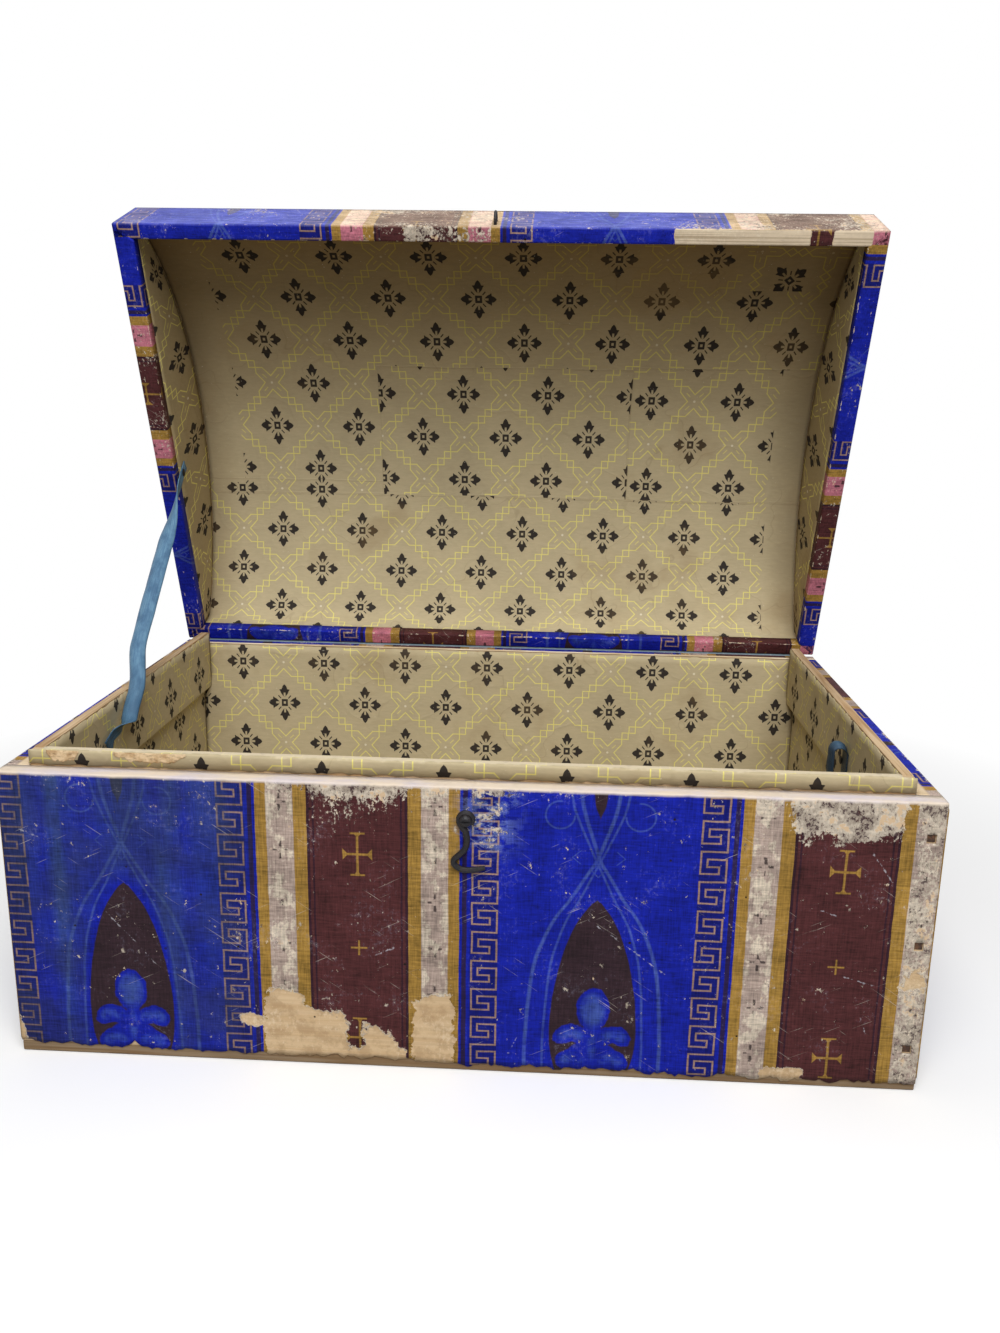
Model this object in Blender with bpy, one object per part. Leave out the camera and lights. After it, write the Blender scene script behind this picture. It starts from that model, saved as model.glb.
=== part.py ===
"""Dome-top dowry box: nailed pine boards under printed paper, with a staved lid on a linen hinge.

Units are metres and +Z is up. The front faces -Y, and the origin is the middle of the underside.
The lid is drawn shut, in the frame of its hinge, and stands open as far as its ribbon stay lets it.
"""

import math

import bmesh
import bpy
from mathutils import Matrix, Vector

# Boards of the base
BOX_WIDTH = 0.520
BOX_DEPTH = 0.332
BASE_HEIGHT = 0.174
BOTTOM_THICKNESS = 0.006
BOTTOM_SEAM = 0.042  # joint of the two bottom planks, behind the middle
BASE_BOARD = 0.011  # front and back
BASE_END = 0.014

# Lip strips nailed inside the base's rim
LIP_THICKNESS = 0.006
LIP_RISE = 0.0095
LIP_DROP = 0.036

# Boards of the lid
LID_BOARD = 0.009  # front and back
LID_END = 0.012
LID_EDGE = 0.048  # rim to the dome's outer edge
LID_CROWN = 0.100  # rim to the top of the dome
DOME_THICKNESS = 0.0143  # at the crown
HOLLOW_EDGE = 0.022  # rim to the hollow's edge, at the front and back boards
STAVE_COUNT = 7
OPEN_ANGLE = math.radians(70.2)

# Glued sheets
PAPER = 0.0004
TURN_IN = 0.008  # cover paper turned over the lid's rim to the inside
LINEN = 0.0005
LINEN_LEAF = 0.026
LINEN_INSET = 0.008

# Cut nails at the corners of the base
NAIL_HEAD = 0.0040
NAIL_HEAD_DEPTH = 0.0010
NAIL_SHANK = 0.0024
NAIL_TIP = 0.0012
NAIL_LENGTH = 0.032
NAIL_ROWS = 3
NAIL_MARGIN = 0.020

# Wire hook, its screw, and the staple that it catches
HOOK_X = 0.002
HOOK_DROP = 0.0174  # screw below the base's rim
HOOK_WIRE = 0.0035
HOOK_RING = 0.0037  # radius at the middle of the wire
HOOK_RING_FROM = math.radians(-40)
HOOK_RING_TO = math.radians(200)
HOOK_SHANK = 0.0165  # pivot to the start of the bend
HOOK_BULGE = 0.0065
HOOK_BULGE_DROP = 0.0248
HOOK_REACH = 0.0296  # pivot to the arm
HOOK_TIP = 0.0108
HOOK_TIP_RISE = 0.0016
HOOK_TIP_WIRE = 0.0025
SCREW_HEAD = 0.0071
SCREW_HEAD_DEPTH = 0.0020
SCREW_SHANK = 0.0030
SCREW_GRIP = 0.0085  # length in the wood
SLOT_WIDTH = 0.0010
SLOT_DEPTH = 0.0010
STAPLE_X = 0.0
STAPLE_WIRE = 0.0022
STAPLE_PLAY = 0.0022  # room round the hook's arm
STAPLE_GRIP = 0.007

# Ribbon stay on the left, the doubled stump of its fellow on the right, and their tacks
RIBBON_WIDTH = 0.013
RIBBON_THICKNESS = 0.0008
STAY_LID_SETBACK = 0.144  # from the hinge, along the lid
STAY_LID_HEIGHT = 0.014
STAY_BASE_SETBACK = 0.105  # from the front
STAY_BASE_DROP = 0.0125
STAY_TAIL = 0.009
STAY_TWIST = math.radians(75)
STAY_BOW = 0.007
STAY_CUP = 0.0018
STAY_LOOSE = (0.1, 0.8)  # shares of its length between which it twists and bows
STAY_CROSSING = (0.08, 0.6)  # shares between which it comes in from the lid's end to the lip strip
STUMP_SETBACK = 0.135
STUMP_DROP = 0.0105  # top of the fold below the rim
STUMP_FOLD = 0.0055  # radius of the fold
STUMP_WALL_STRAND = 0.060
STUMP_FREE_STRAND = 0.036
TACK_HEAD = 0.0060
TACK_HEAD_DEPTH = 0.0010
TACK_SHANK = 0.0016
TACK_GRIP = 0.0040

# Clearances and fineness
GAP = 0.0003  # between touching pieces
CUT_OVER = 0.001  # how far a cutter stands out of the face that it cuts
ARC_STEPS = 4  # facets on each stave
TURNED_SIDES = 12
HEAD_STEPS = 3  # facets from the top of a domed head to its edge
NAIL_SIDES = 4
RING_STEPS = 4
BEND_STEPS = 10
BAND_STEPS = 36
WIRE_STEPS = 5
WIRE_ROUNDING = 3
SHARP_ANGLE = math.radians(40)
WELD = 1e-6  # points this close are one

# Places that follow from the sizes above
HALF_WIDTH = BOX_WIDTH / 2
HALF_DEPTH = BOX_DEPTH / 2
SKIN = GAP + PAPER
FLOOR_TOP = BOTTOM_THICKNESS + GAP
LIP_HALF_WIDTH = HALF_WIDTH - BASE_END - GAP - LIP_THICKNESS
LIP_FRONT = -HALF_DEPTH + BASE_BOARD + GAP + LIP_THICKNESS
SEAT = 2 * SKIN + GAP  # between the two wooden rims when shut
HINGE_OUT = SKIN + GAP + LINEN / 2
HINGE_POINT = Vector((0, HALF_DEPTH + HINGE_OUT, BASE_HEIGHT + SEAT / 2))
LID_RIM = SEAT / 2
LID_BACK = -HINGE_OUT
LID_FRONT = LID_BACK - BOX_DEPTH
LID_MIDDLE = LID_BACK - HALF_DEPTH
DOME_RISE = LID_CROWN - LID_EDGE
DOME_RADIUS = (HALF_DEPTH**2 + DOME_RISE**2) / (2 * DOME_RISE)
DOME_CENTRE = LID_RIM + LID_CROWN - DOME_RADIUS
DOME_SPAN = math.asin(HALF_DEPTH / DOME_RADIUS)
HOLLOW_HALF = HALF_DEPTH - LID_BOARD
HOLLOW_CROWN = LID_CROWN - DOME_THICKNESS
HOLLOW_RISE = HOLLOW_CROWN - HOLLOW_EDGE
HOLLOW_RADIUS = (HOLLOW_HALF**2 + HOLLOW_RISE**2) / (2 * HOLLOW_RISE)
HOLLOW_CENTRE = LID_RIM + HOLLOW_CROWN - HOLLOW_RADIUS
HOLLOW_SPAN = math.asin(HOLLOW_HALF / HOLLOW_RADIUS)
LINING_RADIUS = HOLLOW_RADIUS - GAP
HOOK_STAND = SKIN + GAP + HOOK_WIRE / 2  # middle of the wire, out from the wood
HOOK_POINT = Vector((HOOK_X, -HALF_DEPTH - HOOK_STAND, BASE_HEIGHT - HOOK_DROP))
STAPLE_ARCH = (HOOK_WIRE + STAPLE_WIRE) / 2 + STAPLE_PLAY
STAPLE_HEIGHT = HOOK_POINT.z + HOOK_REACH - HINGE_POINT.z


def clear_scene():
    for item in list(bpy.data.objects):
        bpy.data.objects.remove(item)


def coat(name, colour, roughness, metallic=0.0):
    """One plain finish."""
    material = bpy.data.materials.new(name)
    material.use_nodes = True
    shader = material.node_tree.nodes["Principled BSDF"]
    shader.inputs["Base Color"].default_value = (*colour, 1.0)
    shader.inputs["Roughness"].default_value = roughness
    shader.inputs["Metallic"].default_value = metallic
    return material


def add_piece(name, data, finish, parent=None):
    """A named object in the scene, under its parent, with its finish."""
    piece = bpy.data.objects.new(name, data)
    bpy.context.scene.collection.objects.link(piece)
    piece.parent = parent
    if finish:
        data.materials.append(finish)
    return piece


def to_mesh(name, shape):
    mesh = bpy.data.meshes.new(name)
    shape.to_mesh(mesh)
    shape.free()
    return mesh


def empty_at(name, point, turn=0.0):
    """A pivot on a joint's axis, turned about X."""
    pivot = add_piece(name, None, None)
    pivot.location = point
    pivot.rotation_euler.x = turn
    return pivot


def place(axis, pair, along):
    """A point of a section: (y, z) pairs run along x, and (x, z) pairs along y."""
    if axis == "x":
        return Vector((along, *pair))
    return Vector((pair[0], along, pair[1]))


def prism(name, axis, outline, low, high, finish, parent=None):
    """A board: its section, extruded along its axis."""
    shape = bmesh.new()
    face = shape.faces.new([shape.verts.new(place(axis, pair, low)) for pair in outline])
    grown = bmesh.ops.extrude_face_region(shape, geom=[face])
    moved = [item for item in grown["geom"] if isinstance(item, bmesh.types.BMVert)]
    bmesh.ops.translate(shape, verts=moved, vec=place(axis, (0, 0), high - low))
    bmesh.ops.recalc_face_normals(shape, faces=shape.faces)
    return add_piece(name, to_mesh(name, shape), finish, parent)


def block(name, low, high, finish, parent=None):
    """A square-edged board between two corners."""
    section = ((low[1], low[2]), (high[1], low[2]), (high[1], high[2]), (low[1], high[2]))
    return prism(name, "x", section, low[0], high[0], finish, parent)


def folded(axis, folds):
    """Faces of a folded sheet. Each fold is (start, end, low, high), walked with the wood on the right."""
    faces = []
    for i, (start, end, low, high) in enumerate(folds):
        before = folds[i - 1][2:] if i else ()
        after = folds[i + 1][2:] if i + 1 < len(folds) else ()
        near = sorted({low, high, *(stop for stop in before if low < stop < high)})
        far = sorted({low, high, *(stop for stop in after if low < stop < high)}, reverse=True)
        face = [place(axis, start, stop) for stop in near] + [place(axis, end, stop) for stop in far]
        faces.append(face if axis == "x" else face[::-1])
    return faces


def walk(points, low, high):
    """The folds of a sheet of one width through these points."""
    return [(start, end, low, high) for start, end in zip(points, points[1:])]


def sheet(name, faces, thickness, finish, parent=None):
    """A thin glued sheet whose faces, joined at their shared edges, grow away from the wood."""
    shape = bmesh.new()
    corners = {}
    for face in faces:
        loop = []
        for point in face:
            key = tuple(round(value / WELD) for value in point)
            if key not in corners:
                corners[key] = shape.verts.new(point)
            loop.append(corners[key])
        shape.faces.new(loop)
    return thicken(add_piece(name, to_mesh(name, shape), finish, parent), thickness, 1.0)


def thicken(piece, thickness, offset):
    wall = piece.modifiers.new("thickness", "SOLIDIFY")
    wall.thickness = thickness
    wall.offset = offset
    wall.use_even_offset = True
    wall.use_quality_normals = True
    return piece


def driven(head, direction):
    """The place of a fastener: its head's top at this point, pointing this way."""
    return Matrix.Translation(head) @ Vector(direction).to_track_quat("-Z", "Y").to_matrix().to_4x4()


def turned_mesh(name, profile, sides, places):
    """A solid of revolution at each place: (radius, height) pairs from top to tip, both on the axis."""
    shape = bmesh.new()
    half_side = Matrix.Rotation(math.pi / sides, 3, "Z")
    line = [shape.verts.new(half_side @ Vector((radius, 0, height))) for radius, height in profile]
    edges = [shape.edges.new(pair) for pair in zip(line, line[1:])]
    bmesh.ops.spin(
        shape, geom=line + edges, cent=(0, 0, 0), axis=(0, 0, 1), angle=math.tau, steps=sides, use_merge=True
    )
    bmesh.ops.remove_doubles(shape, verts=shape.verts, dist=WELD)
    bmesh.ops.recalc_face_normals(shape, faces=shape.faces)
    single = to_mesh(name, shape)
    group = bmesh.new()
    for matrix in places:
        count = len(group.verts)
        group.from_mesh(single)
        bmesh.ops.transform(group, matrix=matrix, verts=list(group.verts)[count:])
    bpy.data.meshes.remove(single)
    return to_mesh(name, group)


def domed(radius, depth):
    """The profile of a rounded head, from its top to its edge."""
    angles = [math.pi / 2 * i / HEAD_STEPS for i in range(HEAD_STEPS + 1)]
    return [(radius * math.sin(angle), depth * (math.cos(angle) - 1)) for angle in angles]


def cutter(tool):
    tool.hide_render = True
    tool.display_type = "WIRE"
    return tool


def cut(piece, tool):
    hole = piece.modifiers.new(tool.name, "BOOLEAN")
    hole.operation = "DIFFERENCE"
    hole.solver = "EXACT"
    hole.object = tool


def smooth(piece):
    piece.data.shade_smooth()
    piece.data.set_sharp_from_angle(angle=SHARP_ANGLE)


def base_boards(pine):
    """Front and back boards lap the ends, and two planks close the underside."""
    boards = {}
    for name, side in (("front_board", -1), ("back_board", 1)):
        faces = sorted((side * HALF_DEPTH, side * (HALF_DEPTH - BASE_BOARD)))
        low = (-HALF_WIDTH, faces[0], FLOOR_TOP)
        boards[name] = block(name, low, (HALF_WIDTH, faces[1], BASE_HEIGHT), pine)
    end_depth = HALF_DEPTH - BASE_BOARD - GAP
    for name, side in (("left_end_board", -1), ("right_end_board", 1)):
        faces = sorted((side * HALF_WIDTH, side * (HALF_WIDTH - BASE_END)))
        low = (faces[0], -end_depth, FLOOR_TOP)
        boards[name] = block(name, low, (faces[1], end_depth, BASE_HEIGHT), pine)
    seam = BOTTOM_SEAM
    thick = BOTTOM_THICKNESS
    block("bottom_plank_front", (-HALF_WIDTH, -HALF_DEPTH, 0), (HALF_WIDTH, seam - GAP, thick), pine)
    block("bottom_plank_back", (-HALF_WIDTH, seam, 0), (HALF_WIDTH, HALF_DEPTH, thick), pine)
    return boards


def lip_strips(pine):
    """Three strips that stand above the rim and centre the lid; the hinge side has none."""
    low, high = BASE_HEIGHT - LIP_DROP, BASE_HEIGHT + LIP_RISE
    outer = HALF_WIDTH - BASE_END - GAP
    block("front_lip", (-outer, LIP_FRONT - LIP_THICKNESS, low), (outer, LIP_FRONT, high), pine)
    back = HALF_DEPTH - BASE_BOARD - GAP
    left = block("left_lip", (-outer, LIP_FRONT + GAP, low), (-LIP_HALF_WIDTH, back, high), pine)
    right = block("right_lip", (LIP_HALF_WIDTH, LIP_FRONT + GAP, low), (outer, back, high), pine)
    return left, right


def corner_nails(boards, iron):
    """Square cut nails through the front and back boards into the ends, their heads flush."""
    head, shank, tip = (across / math.sqrt(2) for across in (NAIL_HEAD, NAIL_SHANK, NAIL_TIP))
    neck = -NAIL_HEAD_DEPTH
    profile = ((0, 0), (head, 0), (head, neck), (shank, neck), (tip, -NAIL_LENGTH), (0, -NAIL_LENGTH))
    wide, deep, end = head + GAP, neck - GAP, -NAIL_LENGTH - GAP
    room = ((0, CUT_OVER), (wide, CUT_OVER), (wide, deep), (shank + GAP, deep), (tip + GAP, end), (0, end))
    lowest = FLOOR_TOP + NAIL_MARGIN
    pitch = (BASE_HEIGHT - NAIL_MARGIN - lowest) / (NAIL_ROWS - 1)
    places = []
    for side_y in (-1, 1):
        for side_x in (-1, 1):
            for row in range(NAIL_ROWS):
                x = side_x * (HALF_WIDTH - BASE_END / 2)
                head_point = Vector((x, side_y * (HALF_DEPTH - GAP), lowest + row * pitch))
                places.append(driven(head_point, (0, -side_y, 0)))
    mesh = turned_mesh("corner_nail", profile, NAIL_SIDES, [Matrix()])
    mesh.materials.append(iron)
    for number, matrix in enumerate(places, 1):
        nail = add_piece(f"corner_nail_{number}", mesh, None)
        nail.matrix_world = matrix
    tool = cutter(add_piece("nail_holes", turned_mesh("nail_holes", room, NAIL_SIDES, places), None))
    for board in boards.values():
        cut(board, tool)


def base_papers(cover, lining):
    """Printed paper outside, turned over the rim, and lining paper inside that steps over the lip strips."""
    top, foot = BASE_HEIGHT + GAP, FLOOR_TOP
    out_x, out_y = HALF_WIDTH + GAP, HALF_DEPTH + GAP
    lap = HALF_DEPTH - BASE_BOARD + GAP
    front = walk([(-out_y, foot), (-out_y, top), (-lap, top)], -HALF_WIDTH, HALF_WIDTH)
    back = walk([(lap, top), (out_y, top), (out_y, foot)], -HALF_WIDTH, HALF_WIDTH)
    papers = {"front_cover_paper": sheet("front_cover_paper", folded("x", front), PAPER, cover)}
    sheet("back_cover_paper", folded("x", back), PAPER, cover)
    rim = HALF_DEPTH - BASE_BOARD - GAP
    inner_x = HALF_WIDTH - BASE_END + GAP
    left = [
        ((-out_x, foot), (-out_x, top), -HALF_DEPTH, HALF_DEPTH),
        ((-out_x, top), (-inner_x, top), -rim, rim),
    ]
    right = [
        ((inner_x, top), (out_x, top), -rim, rim),
        ((out_x, top), (out_x, foot), -HALF_DEPTH, HALF_DEPTH),
    ]
    sheet("left_cover_paper", folded("y", left), PAPER, cover)
    sheet("right_cover_paper", folded("y", right), PAPER, cover)

    crest, step = BASE_HEIGHT + LIP_RISE, BASE_HEIGHT - LIP_DROP - GAP
    low = FLOOR_TOP + PAPER + GAP
    wall_x, lip_x = HALF_WIDTH - BASE_END - GAP, LIP_HALF_WIDTH - GAP
    wall_y, lip_y = -HALF_DEPTH + BASE_BOARD + GAP, LIP_FRONT + GAP
    back_y = HALF_DEPTH - BASE_BOARD - GAP
    side = ((-lip_x, crest), (-lip_x, step), (-wall_x, step), (-wall_x, low))
    side_folds = walk(side, lip_y, back_y)
    papers["left_lining_paper"] = sheet("left_lining_paper", folded("y", side_folds), PAPER, lining)
    mirrored = walk([(-x, z) for x, z in reversed(side)], lip_y, back_y)
    papers["right_lining_paper"] = sheet("right_lining_paper", folded("y", mirrored), PAPER, lining)
    span = lip_x - PAPER - GAP
    front_walk = walk(((lip_y, crest), (lip_y, step), (wall_y, step), (wall_y, low)), -span, span)
    sheet("front_lining_paper", folded("x", front_walk), PAPER, lining)
    sheet("back_lining_paper", folded("x", walk(((back_y, low), (back_y, top)), -span, span)), PAPER, lining)
    floor_x = wall_x - PAPER - GAP
    floor = walk(((wall_y, FLOOR_TOP), (back_y, FLOOR_TOP)), -floor_x, floor_x)
    sheet("floor_lining_paper", folded("x", floor), PAPER, lining)
    return papers


def arc(radius, centre, start, end, steps):
    """Points of an arc across the lid, whose middle is at this height; angles are from its top."""
    points = []
    for i in range(steps + 1):
        angle = start + (end - start) * i / steps
        points.append((LID_MIDDLE + radius * math.sin(angle), centre + radius * math.cos(angle)))
    return points


def hollow_arc(half_depth):
    """The arc just under the staves, from back to front, ending this far from the middle of the lid."""
    span = math.asin(half_depth / LINING_RADIUS)
    return arc(LINING_RADIUS, HOLLOW_CENTRE, span, -span, STAVE_COUNT * ARC_STEPS)


def lid_boards(pine, hinge):
    """Low front and back boards, bevelled to carry the dome, and D-shaped ends between them."""
    boards = {}
    for name, face, inner in (
        ("lid_front_board", LID_FRONT, LID_FRONT + LID_BOARD),
        ("lid_back_board", LID_BACK, LID_BACK - LID_BOARD),
    ):
        tops = ((inner, LID_RIM + HOLLOW_EDGE), (face, LID_RIM + LID_EDGE))
        section = ((face, LID_RIM), (inner, LID_RIM), *tops)
        boards[name] = prism(name, "x", section, -HALF_WIDTH, HALF_WIDTH, pine, hinge)
    half = HOLLOW_HALF - GAP
    section = [(LID_MIDDLE - half, LID_RIM), (LID_MIDDLE + half, LID_RIM), *hollow_arc(half)]
    for name, side in (("lid_left_end_board", -1), ("lid_right_end_board", 1)):
        faces = sorted((side * HALF_WIDTH, side * (HALF_WIDTH - LID_END)))
        boards[name] = prism(name, "x", section, *faces, pine, hinge)
    return boards


def dome_staves(pine, hinge):
    """Staves over the curved ends, hollowed inside and planed round outside."""
    margin = GAP / (HOLLOW_RADIUS * HOLLOW_SPAN)
    pitch = 2 / STAVE_COUNT
    for number in range(STAVE_COUNT):
        start = -1 + number * pitch + margin
        end = -1 + (number + 1) * pitch - margin
        inside = arc(HOLLOW_RADIUS, HOLLOW_CENTRE, start * HOLLOW_SPAN, end * HOLLOW_SPAN, ARC_STEPS)
        outside = arc(DOME_RADIUS, DOME_CENTRE, end * DOME_SPAN, start * DOME_SPAN, ARC_STEPS)
        prism(f"dome_stave_{number + 1}", "x", inside + outside, -HALF_WIDTH, HALF_WIDTH, pine, hinge)


def lid_papers(cover, lining, hinge):
    """Cover paper wraps each rim and turns in; one lining sheet crosses the dome between the lined ends."""
    under, turned_top, edge = LID_RIM - GAP, LID_RIM + TURN_IN, LID_RIM + LID_EDGE
    front_in, front_out = LID_FRONT + LID_BOARD + GAP, LID_FRONT - GAP
    back_in, back_out = LID_BACK - LID_BOARD - GAP, LID_BACK + GAP
    end_in = HALF_WIDTH - LID_END - GAP
    papers = {}
    front = [
        ((front_in, turned_top), (front_in, under), -end_in, end_in),
        *walk(((front_in, under), (front_out, under), (front_out, edge)), -HALF_WIDTH, HALF_WIDTH),
    ]
    back = [
        *walk(((back_out, edge), (back_out, under), (back_in, under)), -HALF_WIDTH, HALF_WIDTH),
        ((back_in, under), (back_in, turned_top), -end_in, end_in),
    ]
    papers["front"] = sheet("lid_front_cover_paper", folded("x", front), PAPER, cover, hinge)
    sheet("lid_back_cover_paper", folded("x", back), PAPER, cover, hinge)

    steps = STAVE_COUNT * ARC_STEPS
    over = arc(DOME_RADIUS + GAP, DOME_CENTRE, -DOME_SPAN, DOME_SPAN, steps)
    dome = walk(over, -HALF_WIDTH, HALF_WIDTH)
    sheet("dome_cover_paper", folded("x", dome), PAPER, cover, hinge)

    leg_low, leg_high = front_in + PAPER + GAP, back_in - PAPER - GAP
    out_x = HALF_WIDTH + GAP
    over = arc(DOME_RADIUS, DOME_CENTRE, DOME_SPAN, -DOME_SPAN, steps)
    gable = [(LID_FRONT, under), (leg_low, under), (leg_high, under), (LID_BACK, under), *over]
    left = walk(((-end_in, turned_top), (-end_in, under), (-out_x, under)), leg_low, leg_high)
    right = walk(((out_x, under), (end_in, under), (end_in, turned_top)), leg_low, leg_high)
    left_face = [place("x", pair, -out_x) for pair in reversed(gable)]
    right_face = [place("x", pair, out_x) for pair in gable]
    sheet("lid_left_cover_paper", [*folded("y", left), left_face], PAPER, cover, hinge)
    sheet("lid_right_cover_paper", [*folded("y", right), right_face], PAPER, cover, hinge)

    lined_from = turned_top + GAP
    profile = [(back_in, lined_from), *hollow_arc(HOLLOW_HALF - GAP), (front_in, lined_from)]
    across = end_in - PAPER - GAP
    sheet("dome_lining_paper", folded("x", walk(profile, -across, across)), PAPER, lining, hinge)
    half = HOLLOW_HALF - GAP - PAPER - GAP
    panel = [(leg_low, lined_from), (leg_high, lined_from), *hollow_arc(half)]
    left_panel = [place("x", pair, -end_in) for pair in panel]
    right_panel = [place("x", pair, end_in) for pair in reversed(panel)]
    papers["left_lining"] = sheet("lid_left_lining_paper", [left_panel], PAPER, lining, hinge)
    sheet("lid_right_lining_paper", [right_panel], PAPER, lining, hinge)
    return papers


def linen_hinge(linen, hinge):
    """A strip of linen glued over the back joint; its two leaves meet at the hinge line."""
    half = HALF_WIDTH - LINEN_INSET
    base_low = (-half, HINGE_POINT.y - LINEN / 2, BASE_HEIGHT - LINEN_LEAF)
    block("linen_leaf_base", base_low, (half, HINGE_POINT.y + LINEN / 2, HINGE_POINT.z - GAP), linen)
    block("linen_leaf_lid", (-half, -LINEN / 2, GAP), (half, LINEN / 2, LID_RIM + LINEN_LEAF), linen, hinge)


def wire(name, diameter, kind, points, finish, parent):
    """A bent wire: (point, share of its thickness) along its middle."""
    data = bpy.data.curves.new(name, "CURVE")
    data.dimensions = "3D"
    data.bevel_depth = diameter / 2
    data.bevel_resolution = WIRE_ROUNDING
    data.use_fill_caps = True
    data.resolution_u = WIRE_STEPS
    spline = data.splines.new(kind)
    nodes = spline.bezier_points if kind == "BEZIER" else spline.points
    nodes.add(len(points) - 1)
    for node, (point, share) in zip(nodes, points):
        node.radius = share
        if kind == "BEZIER":
            node.co = point
            node.handle_left_type = node.handle_right_type = "AUTO"
        else:
            node.co = (*point, 1.0)
    return add_piece(name, data, finish, parent)


def hook_and_staple(boards, lid, papers, lid_cover, iron, hinge):
    """A wire hook that swings on its screw, and the staple on the lid that it catches."""
    pivot = empty_at("hook_pivot", HOOK_POINT)
    pitch = (HOOK_RING_TO - HOOK_RING_FROM) / RING_STEPS
    ring = [HOOK_RING_FROM + pitch * i for i in range(RING_STEPS + 1)]
    outline = [(HOOK_RING * math.cos(angle), HOOK_RING * math.sin(angle)) for angle in ring]
    outline += [
        (-HOOK_RING / 2, -HOOK_RING - HOOK_WIRE / 4),
        (0, -HOOK_RING - HOOK_WIRE),
        (0, -HOOK_SHANK),
        (-HOOK_BULGE / 2, -(HOOK_SHANK + HOOK_BULGE_DROP) / 2),
        (-HOOK_BULGE, -HOOK_BULGE_DROP),
        (-HOOK_BULGE / 2, -HOOK_REACH + HOOK_TIP_RISE / 2),
        (HOOK_X - STAPLE_X, -HOOK_REACH),
        (HOOK_TIP, -HOOK_REACH + HOOK_TIP_RISE),
    ]
    shares = [1.0] * (len(outline) - 1) + [HOOK_TIP_WIRE / HOOK_WIRE]
    path = [((x, 0, z), share) for (x, z), share in zip(outline, shares)]
    wire("hook", HOOK_WIRE, "BEZIER", path, iron, pivot)

    radius, shank = SCREW_HEAD / 2, SCREW_SHANK / 2
    neck = -SCREW_HEAD_DEPTH
    head_y = HOOK_POINT.y - HOOK_WIRE / 2 - GAP + neck
    length = -HALF_DEPTH + SCREW_GRIP - head_y
    profile = [*domed(radius, SCREW_HEAD_DEPTH), (shank, neck), (shank, shank - length), (0, -length)]
    spot = driven((HOOK_POINT.x, head_y, HOOK_POINT.z), (0, 1, 0))
    screw = add_piece("hook_screw", turned_mesh("hook_screw", profile, TURNED_SIDES, [spot]), iron)
    smooth(screw)
    slot_low = (HOOK_POINT.x - SCREW_HEAD, head_y - CUT_OVER, HOOK_POINT.z - SLOT_WIDTH / 2)
    slot_high = (HOOK_POINT.x + SCREW_HEAD, head_y + SLOT_DEPTH, HOOK_POINT.z + SLOT_WIDTH / 2)
    cut(screw, cutter(block("screw_slot", slot_low, slot_high, None)))
    room = ((0, neck), (shank + GAP, neck), (shank + GAP, -length - GAP), (0, -length - GAP))
    hole = cutter(add_piece("screw_hole", turned_mesh("screw_hole", room, TURNED_SIDES, [spot]), None))
    cut(boards["front_board"], hole)
    cut(papers["front_cover_paper"], hole)

    arch_y = LID_FRONT - HOOK_STAND
    foot_y = LID_FRONT + STAPLE_GRIP
    low, high = STAPLE_HEIGHT - STAPLE_ARCH, STAPLE_HEIGHT + STAPLE_ARCH
    bend = []
    for i in range(BEND_STEPS + 1):
        angle = math.pi * i / BEND_STEPS
        y = arch_y - STAPLE_ARCH * math.sin(angle)
        bend.append((STAPLE_X, y, STAPLE_HEIGHT - STAPLE_ARCH * math.cos(angle)))
    route = [(STAPLE_X, foot_y, low), *bend, (STAPLE_X, foot_y, high)]
    wire("staple", STAPLE_WIRE, "POLY", [(point, 1.0) for point in route], iron, hinge)
    depth = STAPLE_GRIP + GAP
    width = STAPLE_WIRE / 2 + GAP
    leg = ((0, CUT_OVER), (width, CUT_OVER), (width, -depth), (0, -depth))
    spots = [driven((STAPLE_X, LID_FRONT, z), (0, 1, 0)) for z in (low, high)]
    legs = turned_mesh("staple_holes", leg, TURNED_SIDES, spots)
    holes = cutter(add_piece("staple_holes", legs, None, hinge))
    cut(lid["lid_front_board"], holes)
    cut(lid_cover, holes)


def band(name, stations, finish):
    """A ribbon through stations of (middle, half of its width across, swell of its middle)."""
    shape = bmesh.new()
    rows = []
    for middle, across, swell in stations:
        rows.append([shape.verts.new(point) for point in (middle - across, middle + swell, middle + across)])
    for row, following in zip(rows, rows[1:]):
        for i in range(2):
            shape.faces.new((row[i], row[i + 1], following[i + 1], following[i]))
    piece = add_piece(name, to_mesh(name, shape), finish)
    piece.data.shade_smooth()
    return thicken(piece, RIBBON_THICKNESS, 0.0)


def share_of(value, limits):
    """How far a value is from the first limit to the second, from 0 to 1."""
    start, end = limits
    return min(max((value - start) / (end - start), 0.0), 1.0)


def ease(share):
    return share * share * (3 - 2 * share)


def tack(name, point, direction, pierced, iron, parent=None):
    """A round-headed tack: point is on the ribbon's face, and its shank pierces these pieces."""
    radius, shank = TACK_HEAD / 2, TACK_SHANK / 2
    way = Vector(direction)
    top = Vector(point) - way * (GAP + TACK_HEAD_DEPTH)
    neck = -TACK_HEAD_DEPTH
    length = TACK_HEAD_DEPTH + 2 * GAP + RIBBON_THICKNESS + SKIN + TACK_GRIP
    profile = [*domed(radius, TACK_HEAD_DEPTH), (shank, neck), (shank, -length), (0, -length)]
    spot = driven(top, direction)
    piece = add_piece(name, turned_mesh(name, profile, TURNED_SIDES, [spot]), iron, parent)
    smooth(piece)
    room = ((0, neck), (shank + GAP, neck), (shank + GAP, -length - GAP), (0, -length - GAP))
    hole_mesh = turned_mesh(name + "_hole", room, TURNED_SIDES, [spot])
    hole = cutter(add_piece(name + "_hole", hole_mesh, None, parent))
    for item in pierced:
        cut(item, hole)


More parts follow.
